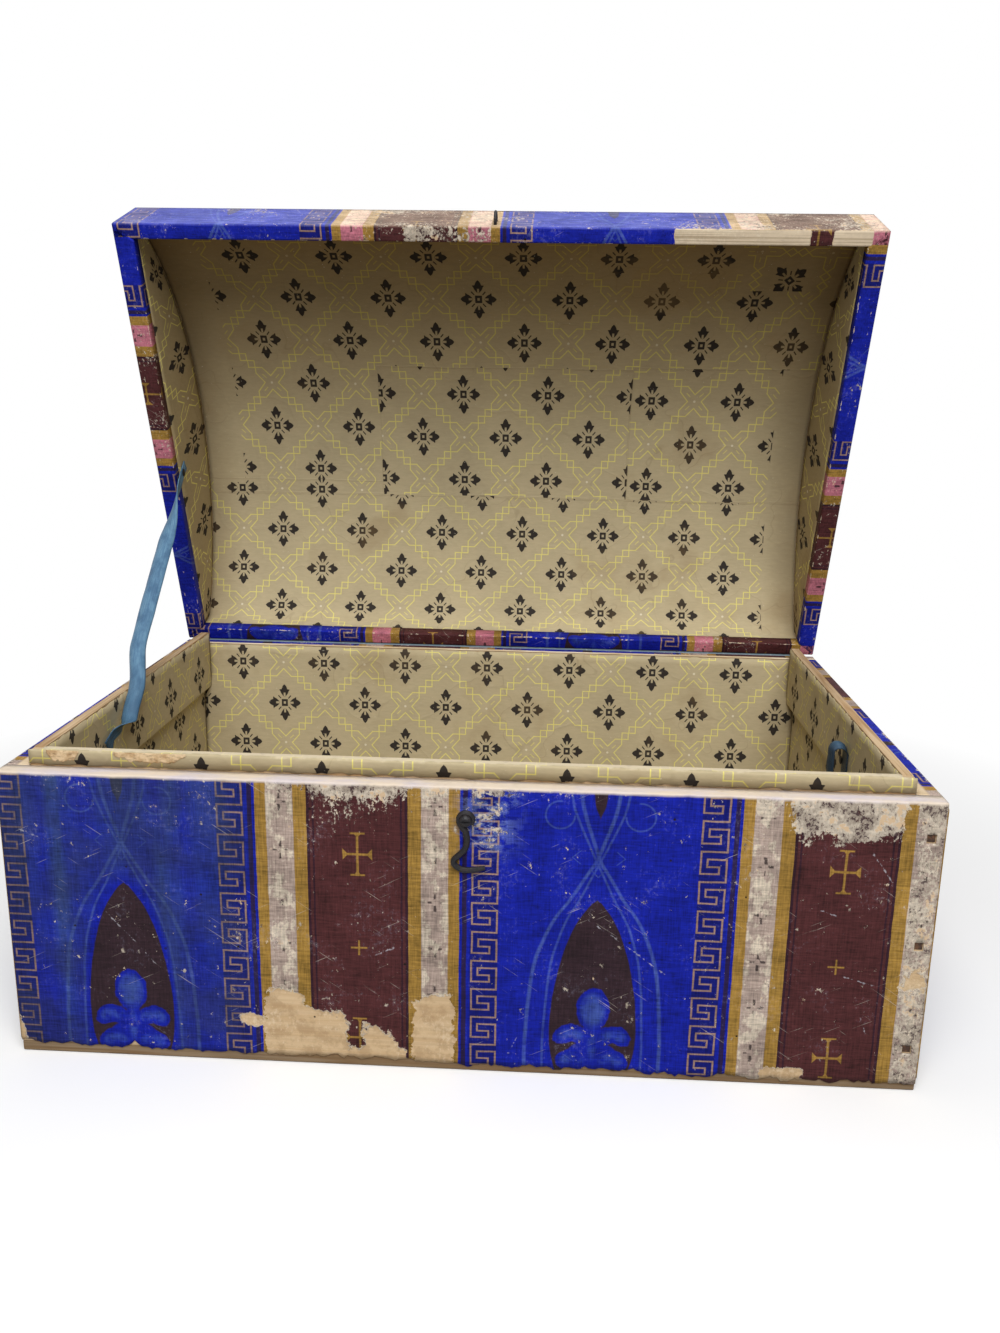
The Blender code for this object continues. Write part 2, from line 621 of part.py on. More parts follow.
def ribbon_stay(ribbon, iron, hinge, lid, lining, lip):
    """The left stay: tacked flat to the lid's end and to the lip strip, and twisted between."""
    lid_x = -HALF_WIDTH + LID_END + SKIN + GAP + RIBBON_THICKNESS / 2
    base_x = -LIP_HALF_WIDTH + SKIN + GAP + RIBBON_THICKNESS / 2
    lid_spot = Vector((lid_x, LID_BACK - STAY_LID_SETBACK, LID_RIM + STAY_LID_HEIGHT))
    upper = HINGE_POINT + Matrix.Rotation(-OPEN_ANGLE, 3, "X") @ lid_spot
    lower = Vector((base_x, -HALF_DEPTH + STAY_BASE_SETBACK, BASE_HEIGHT - STAY_BASE_DROP))
    fall = Vector((0, lower.y - upper.y, lower.z - upper.z))
    along = fall.normalized()
    inward = Vector((1, 0, 0))
    flat_across = along.cross(inward)
    length = fall.length + 2 * STAY_TAIL
    stations = []
    for i in range(BAND_STEPS + 1):
        run = i / BAND_STEPS
        spot = upper + along * (run * length - STAY_TAIL)
        loose = math.sin(math.pi * share_of(run, STAY_LOOSE)) ** 2
        spot.x = lid_x + (base_x - lid_x) * ease(share_of(run, STAY_CROSSING)) + STAY_BOW * loose
        twist = STAY_TWIST * loose
        across = flat_across * math.cos(twist) + inward * math.sin(twist)
        face = along.cross(across).normalized()
        stations.append((spot, across * (RIBBON_WIDTH / 2), face * (STAY_CUP * loose)))
    stay = band("ribbon_stay", stations, ribbon)
    lid_face = lid_spot + inward * (RIBBON_THICKNESS / 2)
    base_face = lower + inward * (RIBBON_THICKNESS / 2)
    tack("stay_lid_tack", lid_face, (-1, 0, 0), [stay, lining["lid"], lid], iron, hinge)
    tack("stay_base_tack", base_face, (-1, 0, 0), [stay, lining["base"], lip], iron)


def ribbon_stump(ribbon, iron, lining, lip):
    """What is left of the right stay: doubled over a fold, tacked on its wall strand, and hanging."""
    wall_x = LIP_HALF_WIDTH - SKIN - GAP - RIBBON_THICKNESS / 2
    y = -HALF_DEPTH + STUMP_SETBACK
    fold_z = BASE_HEIGHT - STUMP_DROP - STUMP_FOLD
    middle_x = wall_x - STUMP_FOLD
    points = [(wall_x, fold_z - STUMP_WALL_STRAND), (wall_x, fold_z - STUMP_WALL_STRAND / 2)]
    for i in range(BEND_STEPS + 1):
        angle = math.pi * i / BEND_STEPS
        points.append((middle_x + STUMP_FOLD * math.cos(angle), fold_z + STUMP_FOLD * math.sin(angle)))
    free_x = middle_x - STUMP_FOLD
    points.append((free_x, fold_z - STUMP_FREE_STRAND / 2))
    points.append((free_x + STUMP_FOLD / 2, fold_z - STUMP_FREE_STRAND))
    across = Vector((0, RIBBON_WIDTH / 2, 0))
    stations = [(Vector((x, y, z)), across, Vector()) for x, z in points]
    stump = band("ribbon_stump", stations, ribbon)
    face = (wall_x - RIBBON_THICKNESS / 2, y, fold_z - TACK_HEAD)
    tack("stump_tack", face, (1, 0, 0), [stump, lining, lip], iron)


def build():
    clear_scene()
    pine = coat("pine", (0.62, 0.45, 0.28), 0.75)
    cover = coat("printed_cover_paper", (0.03, 0.05, 0.35), 0.6)
    lining = coat("lining_paper", (0.45, 0.36, 0.22), 0.8)
    linen = coat("linen", (0.35, 0.40, 0.40), 0.9)
    iron = coat("dark_iron", (0.04, 0.035, 0.03), 0.45, 0.9)
    ribbon = coat("blue_ribbon", (0.12, 0.28, 0.42), 0.7)

    hinge = empty_at("lid_pivot", HINGE_POINT, -OPEN_ANGLE)
    boards = base_boards(pine)
    left_lip, right_lip = lip_strips(pine)
    corner_nails(boards, iron)
    papers = base_papers(cover, lining)
    lid = lid_boards(pine, hinge)
    dome_staves(pine, hinge)
    lid_sheets = lid_papers(cover, lining, hinge)
    linen_hinge(linen, hinge)
    hook_and_staple(boards, lid, papers, lid_sheets["front"], iron, hinge)
    linings = {"lid": lid_sheets["left_lining"], "base": papers["left_lining_paper"]}
    ribbon_stay(ribbon, iron, hinge, lid["lid_left_end_board"], linings, left_lip)
    ribbon_stump(ribbon, iron, papers["right_lining_paper"], right_lip)


build()
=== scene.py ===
import math
from functools import cached_property, partialmethod, reduce

import bmesh
import bpy
from mathutils import Matrix, Quaternion, Vector, noise


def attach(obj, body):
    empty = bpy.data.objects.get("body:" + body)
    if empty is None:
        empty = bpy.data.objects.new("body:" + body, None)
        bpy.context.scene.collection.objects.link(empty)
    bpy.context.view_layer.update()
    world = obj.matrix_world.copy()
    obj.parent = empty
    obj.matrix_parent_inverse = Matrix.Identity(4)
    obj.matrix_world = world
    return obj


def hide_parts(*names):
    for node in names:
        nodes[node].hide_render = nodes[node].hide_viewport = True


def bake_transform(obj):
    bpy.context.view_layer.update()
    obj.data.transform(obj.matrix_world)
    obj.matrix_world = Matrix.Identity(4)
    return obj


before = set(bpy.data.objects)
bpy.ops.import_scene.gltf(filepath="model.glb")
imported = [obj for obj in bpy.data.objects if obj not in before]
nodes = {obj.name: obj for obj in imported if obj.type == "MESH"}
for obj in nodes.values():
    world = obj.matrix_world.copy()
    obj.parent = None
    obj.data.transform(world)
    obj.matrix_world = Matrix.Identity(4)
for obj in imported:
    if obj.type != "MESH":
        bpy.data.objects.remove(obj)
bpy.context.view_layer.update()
scene = bpy.context.scene
scene.view_settings.view_transform = "Standard"


# Photograph's view
# A wide lens in front of the box, about level with the middle of its open lid, tipped down
# and turned a little to the left.
PICTURE_HEIGHT, FOCAL_PIXELS, SENSOR = 1333, 1110.6, 36
CAMERA_SPOT = (0.04687, -0.73406, 0.38635)
CAMERA_TURN, CAMERA_TIP, CAMERA_LEAN = (math.radians(angle) for angle in (-2.79, 14.18, 0.96))

lens = bpy.data.cameras.new("photo_camera")
lens.sensor_width = SENSOR
lens.lens = SENSOR * FOCAL_PIXELS / PICTURE_HEIGHT
camera = bpy.data.objects.new("photo_camera", lens)
scene.collection.objects.link(camera)
ahead = Vector((
    math.sin(CAMERA_TURN) * math.cos(CAMERA_TIP),
    math.cos(CAMERA_TURN) * math.cos(CAMERA_TIP),
    -math.sin(CAMERA_TIP),
))
camera.location = CAMERA_SPOT
camera.rotation_mode = "QUATERNION"
camera.rotation_quaternion = ahead.to_track_quat("-Z", "Y") @ Quaternion((0, 0, 1), CAMERA_LEAN)
scene.camera = camera


# Room
# A pale floor under the box and soft studio light from above and in front.
# Away from the box the floor and the room are plain white.
FLOOR_HALF, FLOOR_DROP = 4.0, 0.0004
FLOOR_COLOUR, FLOOR_RETURN = (0.94, 0.94, 0.94, 1), (0.40, 0.40, 0.39, 1)
WHITE = (1, 1, 1, 1)
WHITE_FROM, WHITE_FADE = 0.50, 0.40
ROOM_LIGHT = 0.10
LIT_SPOT = Vector((0, 0, 0.2))
LAMPS = (
    ("lamp_above", (0.15, -1.50, 1.85), 1.7, 63),
    ("lamp_overhead", (-0.25, 0.10, 2.30), 1.5, 8),
)


class Signal:
    """A number that changes over a surface. Arithmetic on it adds Math nodes."""

    def __init__(self, finish, socket):
        self.finish = finish
        self.socket = socket

    def math(self, operation, *others, clamp=False):
        settings = {"operation": operation, "use_clamp": clamp}
        made = self.finish.node("Math", settings, dict(enumerate((self, *others))))
        return Signal(self.finish, made.outputs[0])

    __add__ = __radd__ = partialmethod(math, "ADD")
    __sub__ = partialmethod(math, "SUBTRACT")
    __rsub__ = partialmethod(math, "MULTIPLY_ADD", -1)
    __mul__ = __rmul__ = partialmethod(math, "MULTIPLY")
    __truediv__ = partialmethod(math, "DIVIDE")
    __abs__ = partialmethod(math, "ABSOLUTE")
    least = partialmethod(math, "MINIMUM")
    most = partialmethod(math, "MAXIMUM")

    def wrap(self, low, high):
        return self.math("WRAP", high, low)

    def radius(self, other):
        """Length of a slope whose two legs are these numbers."""
        return (self * self + other * other).math("SQRT")

    def above(self, limit, soft):
        """1 where the number is over the limit, 0 under it, over a soft edge."""
        if isinstance(limit, Signal):
            return (self - limit).above(0, soft)
        return self.math("MULTIPLY_ADD", 1 / soft, 0.5 - limit / soft, clamp=True)

    def below(self, limit, soft):
        if isinstance(limit, Signal):
            return (limit - self).above(0, soft)
        return self.math("MULTIPLY_ADD", -1 / soft, 0.5 + limit / soft, clamp=True)

    def between(self, low, high, soft):
        return abs(self - (low + high) / 2).below((high - low) / 2, soft)


class Finish:
    """The nodes of one surface, added in the order in which they work, and its colour so far."""

    def __init__(self, owner, colour=WHITE):
        owner.use_nodes = True
        self.owner = owner
        self.colour = colour
        self.tree = owner.node_tree
        self.tree.nodes.clear()

    def node(self, kind, settings=None, sockets=None):
        """One node: its settings come first, then the values or links of its sockets."""
        made = self.tree.nodes.new("ShaderNode" + kind)
        for key, value in (settings or {}).items():
            if key == "stops":
                ramp = made.color_ramp.elements
                while len(ramp) < len(value):
                    ramp.new(1.0)
                for element, (position, colour) in zip(ramp, value):
                    element.position = position
                    element.color = colour
            elif key == "steps":
                made.color_ramp.interpolation = value
            elif key == "curve":
                line = made.mapping.curves[0]
                line.points[0].location = value[0]
                line.points[1].location = value[-1]
                for spot in value[1:-1]:
                    line.points.new(*spot)
                for spot in line.points:
                    spot.handle_type = "AUTO_CLAMPED"
                made.mapping.update()
            else:
                setattr(made, key, value)
        for key, value in (sockets or {}).items():
            if isinstance(value, Signal):
                value = value.socket
            if isinstance(value, bpy.types.NodeSocket):
                self.tree.links.new(value, made.inputs[key])
            else:
                made.inputs[key].default_value = value
        return made

    def signal(self, kind, output, settings=None, sockets=None):
        return Signal(self, self.node(kind, settings, sockets).outputs[output])

    @cached_property
    def place(self):
        """A point's place on the box, in metres."""
        return self.node("TexCoord").outputs["Object"]

    def paint(self, under, over, share):
        """One colour over another, by share."""
        settings = {"data_type": "RGBA", "clamp_factor": True}
        return self.node("Mix", settings, {0: share, 6: under, 7: over}).outputs[2]

    def coat(self, over, share):
        """Lays a colour over the surface, by share."""
        self.colour = self.paint(self.colour, over, share)

    def shade(self, light):
        """Makes the surface darker or lighter by a number around 1, or by a tint."""
        settings = {"data_type": "RGBA", "blend_type": "MULTIPLY"}
        self.colour = self.node("Mix", settings, {0: 1.0, 6: self.colour, 7: light}).outputs[2]

    def mixed(self, share, under, over):
        """One shader over another, by share."""
        return self.node("MixShader", None, {0: share, 1: under.outputs[0], 2: over.outputs[0]}).outputs[0]


def new_finish(name, colour=WHITE):
    return Finish(bpy.data.materials.new(name), colour)


def seen_rays(finish):
    """1 for what is seen straight, in a gloss or through glass."""
    rays = finish.node("LightPath").outputs
    seen = Signal(finish, rays["Is Camera Ray"]).most(rays["Is Glossy Ray"])
    return seen.most(rays["Is Transmission Ray"])


def made_object(name, shape, material):
    """An object of a shape, with its finish."""
    mesh = bpy.data.meshes.new(name)
    shape.to_mesh(mesh)
    shape.free()
    mesh.materials.append(material)
    thing = bpy.data.objects.new(name, mesh)
    scene.collection.objects.link(thing)
    return thing


room = bpy.data.worlds.new("white_room")
scene.world = room
sky = Finish(room)
soft_light = sky.node("Background", None, {"Color": WHITE, "Strength": ROOM_LIGHT})
white_light = sky.node("Background", None, {"Color": WHITE, "Strength": 1.0})
sky.node("OutputWorld", None, {"Surface": sky.mixed(seen_rays(sky), soft_light, white_light)})

ground = new_finish("pale_floor")
seen = seen_rays(ground)
middle_gap = ground.signal("VectorMath", "Value", {"operation": "LENGTH"}, {0: ground.place})
away = middle_gap.above(WHITE_FROM, WHITE_FADE)
matt = ground.node("BsdfDiffuse", None, {"Color": ground.paint(FLOOR_RETURN, FLOOR_COLOUR, seen)})
glow = ground.node("Emission", None, {"Color": WHITE, "Strength": 1.0})
ground.node("OutputMaterial", None, {"Surface": ground.mixed(seen * away, matt, glow)})
floor_shape = bmesh.new()
bmesh.ops.create_grid(floor_shape, x_segments=4, y_segments=4, size=FLOOR_HALF)
bmesh.ops.translate(floor_shape, verts=floor_shape.verts, vec=(0, 0, -FLOOR_DROP))
made_object("studio_floor", floor_shape, ground.owner)

for lamp_name, lamp_spot, lamp_size, lamp_power in LAMPS:
    light = bpy.data.lights.new(lamp_name, "AREA")
    light.size = lamp_size
    light.energy = lamp_power
    lamp = bpy.data.objects.new(lamp_name, light)
    lamp.location = lamp_spot
    lamp.rotation_mode = "QUATERNION"
    lamp.rotation_quaternion = (LIT_SPOT - Vector(lamp_spot)).to_track_quat("-Z", "Y")
    scene.collection.objects.link(lamp)


# Pine boards, lip strips and staves
# Thin boards of sawn pine, planed by hand, gone brown with age, and nailed together.
# Most of their faces are under paper; the bottom, the rims and the strips show.
OPEN_ANGLE = math.radians(70.2)
EDGE_WEAR, EDGE_ANGLE, WELD = 0.0006, math.radians(35), 1e-5
ALONG_X, ALONG_Y, ALONG_LID = (0, 0, 0), (0, 0, math.pi / 2), (OPEN_ANGLE, 0, math.pi / 2)
STAVES = tuple(f"dome_stave_{i}" for i in range(1, 8))
# Way of the grain, share of grime, and the boards that have them
BOARDS = (
    (ALONG_X, 0.0, (*STAVES, "front_board", "back_board", "front_lip", "lid_front_board",
                    "lid_back_board")),
    (ALONG_X, 0.6, ("bottom_plank_front", "bottom_plank_back")),
    (ALONG_Y, 0.0, ("left_end_board", "right_end_board", "left_lip", "right_lip")),
    (ALONG_LID, 0.0, ("lid_left_end_board", "lid_right_end_board")),
)


def ink(red, green, blue):
    """A colour as it is seen, from 0 to 255, made linear."""
    values = [value / 255 for value in (red, green, blue)]
    return (*(v / 12.92 if v <= 0.04045 else ((v + 0.055) / 1.055) ** 2.4 for v in values), 1.0)


def mottle(finish, grain, detail=3.0, rough=0.55, vector=None):
    """Noise around 0.5. Grain is its count to the unit, as one number or as one for each axis."""
    vector = vector or finish.place
    if isinstance(grain, tuple):
        vector = finish.node("Mapping", None, {"Vector": vector, "Scale": grain}).outputs[0]
        grain = 1.0
    sockets = {"Vector": vector, "Scale": grain, "Detail": detail, "Roughness": rough}
    return finish.signal("TexNoise", 0, None, sockets)


def turned(finish, turn):
    return finish.node("Mapping", None, {"Vector": finish.place, "Rotation": turn}).outputs[0]


def dressed(finish, roughness, height, depth, gloss=0.12, metal=0.0):
    """Ends a finish with its roughness and a bump of this depth in metres, and gives its material."""
    bump = finish.node("Bump", None, {"Height": height, "Distance": depth, "Strength": 0.6})
    sockets = {"Base Color": finish.colour, "Roughness": roughness, "Normal": bump.outputs[0]}
    sockets |= {"Specular IOR Level": gloss, "Metallic": metal}
    shader = finish.node("BsdfPrincipled", None, sockets)
    finish.node("OutputMaterial", None, {"Surface": shader.outputs[0]})
    return finish.owner


def clad(node_name, material):
    """Gives a solid its finish."""
    solid = nodes[node_name]
    solid.data.materials.clear()
    solid.data.materials.append(material)
    return solid


def pine_look(finish, spot):
    """Colour and height of old sawn pine whose grain runs along X of this place."""
    ring = mottle(finish, (2.2, 46, 46), 3.0, 0.5, spot)
    fibre = mottle(finish, (14, 620, 620), 2.0, 0.6, spot)
    soil = mottle(finish, (9, 14, 14), 4.0, 0.6, spot)
    stripe = (ring * 9).math("FRACT")
    rings = ((0.0, ink(196, 168, 130)), (0.55, ink(206, 180, 146)), (0.86, ink(178, 144, 104)),
             (1.0, ink(192, 162, 124)))
    colour = finish.node("ValToRGB", {"stops": rings}, {"Fac": stripe}).outputs[0]
    colour = finish.paint(colour, ink(140, 108, 74), fibre.above(0.56, 0.2) * 0.45)
    colour = finish.paint(colour, ink(116, 92, 66), soil.above(0.58, 0.22) * 0.55)
    return colour, fibre * 0.6 + stripe * 0.3


for number, (grain_way, grime, names) in enumerate(BOARDS, 1):
    wood = new_finish(f"old_pine_{number}")
    wood.colour, relief = pine_look(wood, turned(wood, grain_way))
    wood.coat(ink(74, 54, 36), grime)
    pine = dressed(wood, relief * 0.15 + 0.68, relief, 0.0004)
    for name in names:
        board = clad(name, pine)
        weld = board.modifiers.new("weld", "WELD")
        weld.merge_threshold = WELD
        wear = board.modifiers.new("worn_edges", "BEVEL")
        wear.width = EDGE_WEAR
        wear.segments = 2
        wear.limit_method = "ANGLE"
        wear.angle_limit = EDGE_ANGLE


# Corner nails
# Square cut nails through the front and back boards into the ends, rusted brown.
# Three heads show at the right front corner, where the paper has worn off them.
NAILS = 12


def iron_look(name, colour, rusty, share):
    """Old forged iron: dark, pitted, and rusty by this share."""
    iron = new_finish(name, colour)
    rust = mottle(iron, 420, 5.0, 0.65)
    pits = mottle(iron, 1500, 3.0, 0.6)
    iron.coat(rusty, rust.above(0.54, 0.18) * share)
    iron.coat(ink(96, 92, 90), pits.above(0.62, 0.1) * 0.15)
    return dressed(iron, rust * 0.4 + 0.25, rust + pits * 0.5, 0.0002, 0.35, 0.2)


nail_iron = iron_look("nail_iron", ink(62, 44, 34), ink(112, 76, 50), 0.8)
for number in range(1, NAILS + 1):
    clad(f"corner_nail_{number}", nail_iron)


# Cover paper of the base
# Printed wallpaper in four sheets, pasted to the boards and turned over the rim.
# Stripes, a meander, pointed arches with palmettes, and crosses; worn to the wood in places.
HALF_WIDTH, HALF_DEPTH = 0.260, 0.166
FOOT, RIM = 0.0063, 0.1743
STAND_OFF, PAPER, FOLD, FOLD_STEPS = 0.0003, 0.0004, 0.0010, 4
BASE_BOARD, BASE_END = 0.011, 0.014
COVER_STEP, FRONT_COLUMNS, SIDE_COLUMNS, COVER_FRAY = 0.005, 260, 160, (0.003, 0.0)
NAIL_HOLE, NAIL_X, NAIL_HEIGHTS = 0.0026, 0.253, (0.0263, 0.09015, 0.154)
HAIR = 1e-6
# The print, in millimetres
MM = 1000
REPEAT, ARCH, ARCH_RISE = 267.4, 75.4, 229.0
HALF_REPEAT = REPEAT / 2
KEY_FROM, KEY_WIDTH, KEY_PITCH, KEY_TOP, KEY_LINE = 55.5, 14.0, 17.8, 142.0, 0.5
MUSTARD_FROM, STRIPE_FROM, STRIPE_TO, MAROON_FROM = 76.5, 83, 97.8, 105
CROSS_PITCH, CROSS_HEIGHT, CROSS_UP, CROSS_OUT, CROSS_BAR = 114.5, 18.5, 12.8, 8.3, 0.65
SMALL_CROSS, SMALL_BAR = 4.6, 0.5
MARK_PITCH, MARK_AT, MARK_OUT = 28.625, 48.3, 90.4
LEAF_LOW, LEAF_TOP = -115, 30
STRAND_LOW, STRAND_TOP, STRAND_LIFT = -56, 50, 15
KNOT_AT, CHEVRON_AT, CURL_AT, CURL_RADIUS = 128.5, 136, (21.9, 160.5), 8
ARCH_HALF, PALM_MELT, PALM_SHOWN = 53, 2.5, (-4, 60)
SIDE_ARCH = -64.0
BLUE, KEY_BLUE, DARK = ink(18, 31, 150), ink(15, 22, 108), ink(36, 25, 66)
MUSTARD, MAROON, MAROON_EDGE = ink(153, 119, 56), ink(75, 39, 40), ink(50, 26, 36)
LEAF, STRAND, PALM, HEART = ink(47, 32, 38), ink(84, 106, 166), ink(50, 70, 160), ink(66, 86, 138)
GOLD, LINE, MARK = ink(152, 117, 56), ink(160, 128, 106), ink(42, 32, 34)
FADED_PINK, WHITE_WEAR, BARE = ink(168, 149, 138), ink(212, 202, 188), ink(226, 196, 154)
# Half width of the leaf in an arch, and the strand's distance from its middle: up, across
LEAF_HALF = ((-115, 0), (-74, 0), (-62, 3.2), (-48, 4.6), (-30, 11), (-12, 17), (4, 21.5), (18, 24.3),
             (30, 24.9), (44, 24.2), (57, 22.5), (70, 20), (84, 16.2), (95, 11.8), (104, 6.4), (109, 2.6),
             (112, 0), (114, 0))
STRAND_SIDE = ((-56, 13), (-51, 15.5), (-45, 22), (-35, 28.5), (-15, 32.5), (10, 33.5), (31, 33),
               (70, 29.5), (84, 25.6), (96, 21), (112, 11.6), (127, 3.7), (134, 0), (145, -4.6),
               (155, -8.5), (165, -11.6), (173, -13))
# Lobes of the palmette: middle across and up, half width, half height, tilt
PALM_LOBES = ((0, 43, 9.4, 13, 0), (0, 20, 4.5, 17, 0), (8.5, 26.5, 7.5, 5.0, 0.45),
              (15.5, 26.5, 7.0, 5.4, -0.7), (8.0, 11.5, 7.5, 4.8, 0.45), (14.5, 10.5, 6.8, 5.2, -0.7))
PALM_HEART, PALM_BASE = (0, 42, 6.5, 10.5), (0, 12, 15, 11)
# Horizontal and vertical strokes of one turn of the meander: middle and half length, both ways
KEY_STROKES = ((7.0, 0.0, 7.0, 0), (0.0, 6.5, 0, 6.5), (5.0, 13.0, 5.0, 0), (10.0, 11.0, 0, 2.0),
               (6.8, 8.9, 3.2, 0), (3.6, 6.7, 0, 2.2), (8.8, 4.45, 5.2, 0), (14.0, 11.1, 0, 6.7),
               (7.0, KEY_PITCH, 7.0, 0))


def measured(points):
    """A path through points, each (across, up, low, high), with its distance from the start."""
    path = [(points[0], 0.0)]
    for point in points[1:]:
        last, run = path[-1]
        path.append((point, run + (point - last).xy.length))
    return path


def bent_path(corners, step, cut=FOLD):
    """A measured path with rounded corners."""
    stops = [Vector(corner) for corner in corners]
    points = [stops[0]]
    for before, corner, after in zip(stops, stops[1:], stops[2:]):
        start = corner + (before - corner) * (cut / (before - corner).xy.length)
        end = corner + (after - corner) * (cut / (after - corner).xy.length)
        for i in range(FOLD_STEPS + 1):
            t = i / FOLD_STEPS
            points.append(start * (1 - t) ** 2 + corner * (2 * t * (1 - t)) + end * t**2)
    points.append(stops[-1])
    fine = [points[0]]
    for last, point in zip(points, points[1:]):
        count = max(1, round((point - last).xy.length / step))
        fine += [last.lerp(point, i / count) for i in range(1, count + 1)]
    return measured(fine)


def strip_path(corners, ends, step, cut=FOLD):
    """A bent path of a sheet that has the same ends all the way."""
    return bent_path([(*corner, *ends) for corner in corners], step, cut)


def finish_piece(name, shape, material, body, replaced):
    """Makes a piece of a shape, gives it its finish, and ties it to its body."""
    piece = made_object(name, shape, material)
    if body:
        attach(piece, body)
    if replaced:
        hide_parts(*replaced)
    return piece


def thicken(piece, thickness, offset=1.0):
    wall = piece.modifiers.new("thickness", "SOLIDIFY")
    wall.thickness = thickness
    wall.offset = offset
    wall.use_even_offset = True
    wall.use_quality_normals = True


def paste(node_name, sheet, look, body):
    """A glued sheet in the place of the plain solid of this name."""
    slot = "cover_paper" if "cover" in node_name else "lining_paper"
    name = node_name.replace("cover_paper", "wallpaper").replace("_paper", "")
    thicken(finish_piece(name, sheet, look, body, [node_name]), PAPER)


def smooth(shape):
    for face in shape.faces:
        face.smooth = True


def printed_grid(columns, rows, station):
    """A grid of points: station gives each its spot and its print, from its shares across and along."""
    shape = bmesh.new()
    bmesh.ops.create_grid(shape, x_segments=columns, y_segments=rows, size=0.5)
    layer = shape.verts.layers.float_vector.new("print")
    for vert in shape.verts:
        vert.co, vert[layer] = station(vert.co.x + 0.5, vert.co.y + 0.5)
    smooth(shape)
    return shape


def paper_grid(path, columns, spot, outward, print_from, print_way=1, fray=(0.0, 0.0), warp=None):
    """A sheet along a path: spot places its points, fray tears its ends, and warp stretches its print."""
    rows = len(path) - 1

    def station(share, row_share):
        row = round(row_share * rows)
        point, run = path[row]
        if row in (0, rows) and fray[row > 0]:
            inner, inner_run = path[1 if row == 0 else rows - 1]
            tear = noise.noise(Vector((share * 60, row, 0)))
            tear += 0.6 * noise.noise(Vector((share * 170, row, 3)))
            back = min(0.9, fray[row > 0] * max(0.0, 0.5 + tear) / (inner.xy - point.xy).length)
            point, run = point.lerp(inner, back), run + (inner_run - run) * back
        along = point.z + (point.w - point.z) * share
        up = warp(run * MM) if warp else run * MM
        return spot(along, point.x, point.y), (along * MM * print_way + print_from[0], up + print_from[1], 0)

    sheet = printed_grid(columns, rows, station)
    sheet.normal_update()
    total = sum((face.normal * face.calc_area() for face in sheet.faces), Vector())
    if total.dot(Vector(outward)) < 0:
        bmesh.ops.reverse_faces(sheet, faces=sheet.faces)
    return sheet


def profile(finish, value, points, low, span, top, lift=0.0):
    """Height of an outline at a place along it. The curve holds both as shares of their reach."""
    curve = tuple(((x - low) / span, (y + lift) / top) for x, y in points)
    share = (value - low) / span
    return finish.signal("FloatCurve", 0, {"curve": curve}, {"Value": share}) * top - lift


def nearest(gaps):
    return reduce(Signal.least, gaps)


def stroke(across, along, place):
    """How far outside one straight stroke a point is."""
    middle, height, half_across, half_along = place
    return (abs(across - middle) - half_across).most(abs(along - height) - half_along)


def oval(across, along, place):
    """How far a point is from the middle of an oval, as a share of its radius."""
    x, y, half_x, half_y = place
    return ((across - x) / half_x).radius((along - y) / half_y)


def box_of(across, along, left, right, low, high, soft):
    """A soft-edged rectangle on the sheet."""
    return across.between(left, right, soft) * along.between(low, high, soft)


def from_arch(across):
    """Distance from the middle of the nearest arch, negative on its left."""
    return (across - ARCH).wrap(-HALF_REPEAT, HALF_REPEAT)


def meander(side, along):
    """How far a point is from the meander's line."""
    key_x = side - KEY_FROM + side.below(0, 0.01) * (2 * KEY_FROM + KEY_WIDTH)
    key_y = (KEY_TOP - along).wrap(0, KEY_PITCH)
    return nearest(stroke(key_x, key_y, bar) for bar in KEY_STROKES)


def crosses(out, along):
    """How far a point is outside the crosses: a large one with flared ends, and a small one."""
    off = HALF_REPEAT - out
    high = abs((along - CROSS_HEIGHT).wrap(-CROSS_PITCH / 2, CROSS_PITCH / 2))
    small = CROSS_PITCH / 2 - high
    flare_up = off - CROSS_BAR - (high - 10.6) * 0.8
    flare_out = high - CROSS_BAR - (off - 5.8).most(0) * 1.1
    return nearest((
        (off - CROSS_BAR).most(high - CROSS_UP),
        (high - CROSS_BAR).most(off - CROSS_OUT),
        (abs(high - 12.4) - 0.5).most(off - 4.1),
        flare_up.most(high - CROSS_UP),
        flare_out.most(off - CROSS_OUT),
        (off - SMALL_BAR).most(small - SMALL_CROSS),
        (small - SMALL_BAR).most(off - SMALL_CROSS),
    ))


def lobe(out, height, place):
    """How far a point is outside one lobe of the palmette."""
    middle, up, half_width, half_height, tilt = place
    off_x, off_y = out - middle, height - up
    u = off_x * (math.cos(tilt) / half_width) + off_y * (math.sin(tilt) / half_width)
    v = off_y * (math.cos(tilt) / half_height) - off_x * (math.sin(tilt) / half_height)
    return (u.radius(v) - 1) * min(half_width, half_height)


def melted(one, other):
    return one.math("SMOOTH_MIN", other, PALM_MELT)


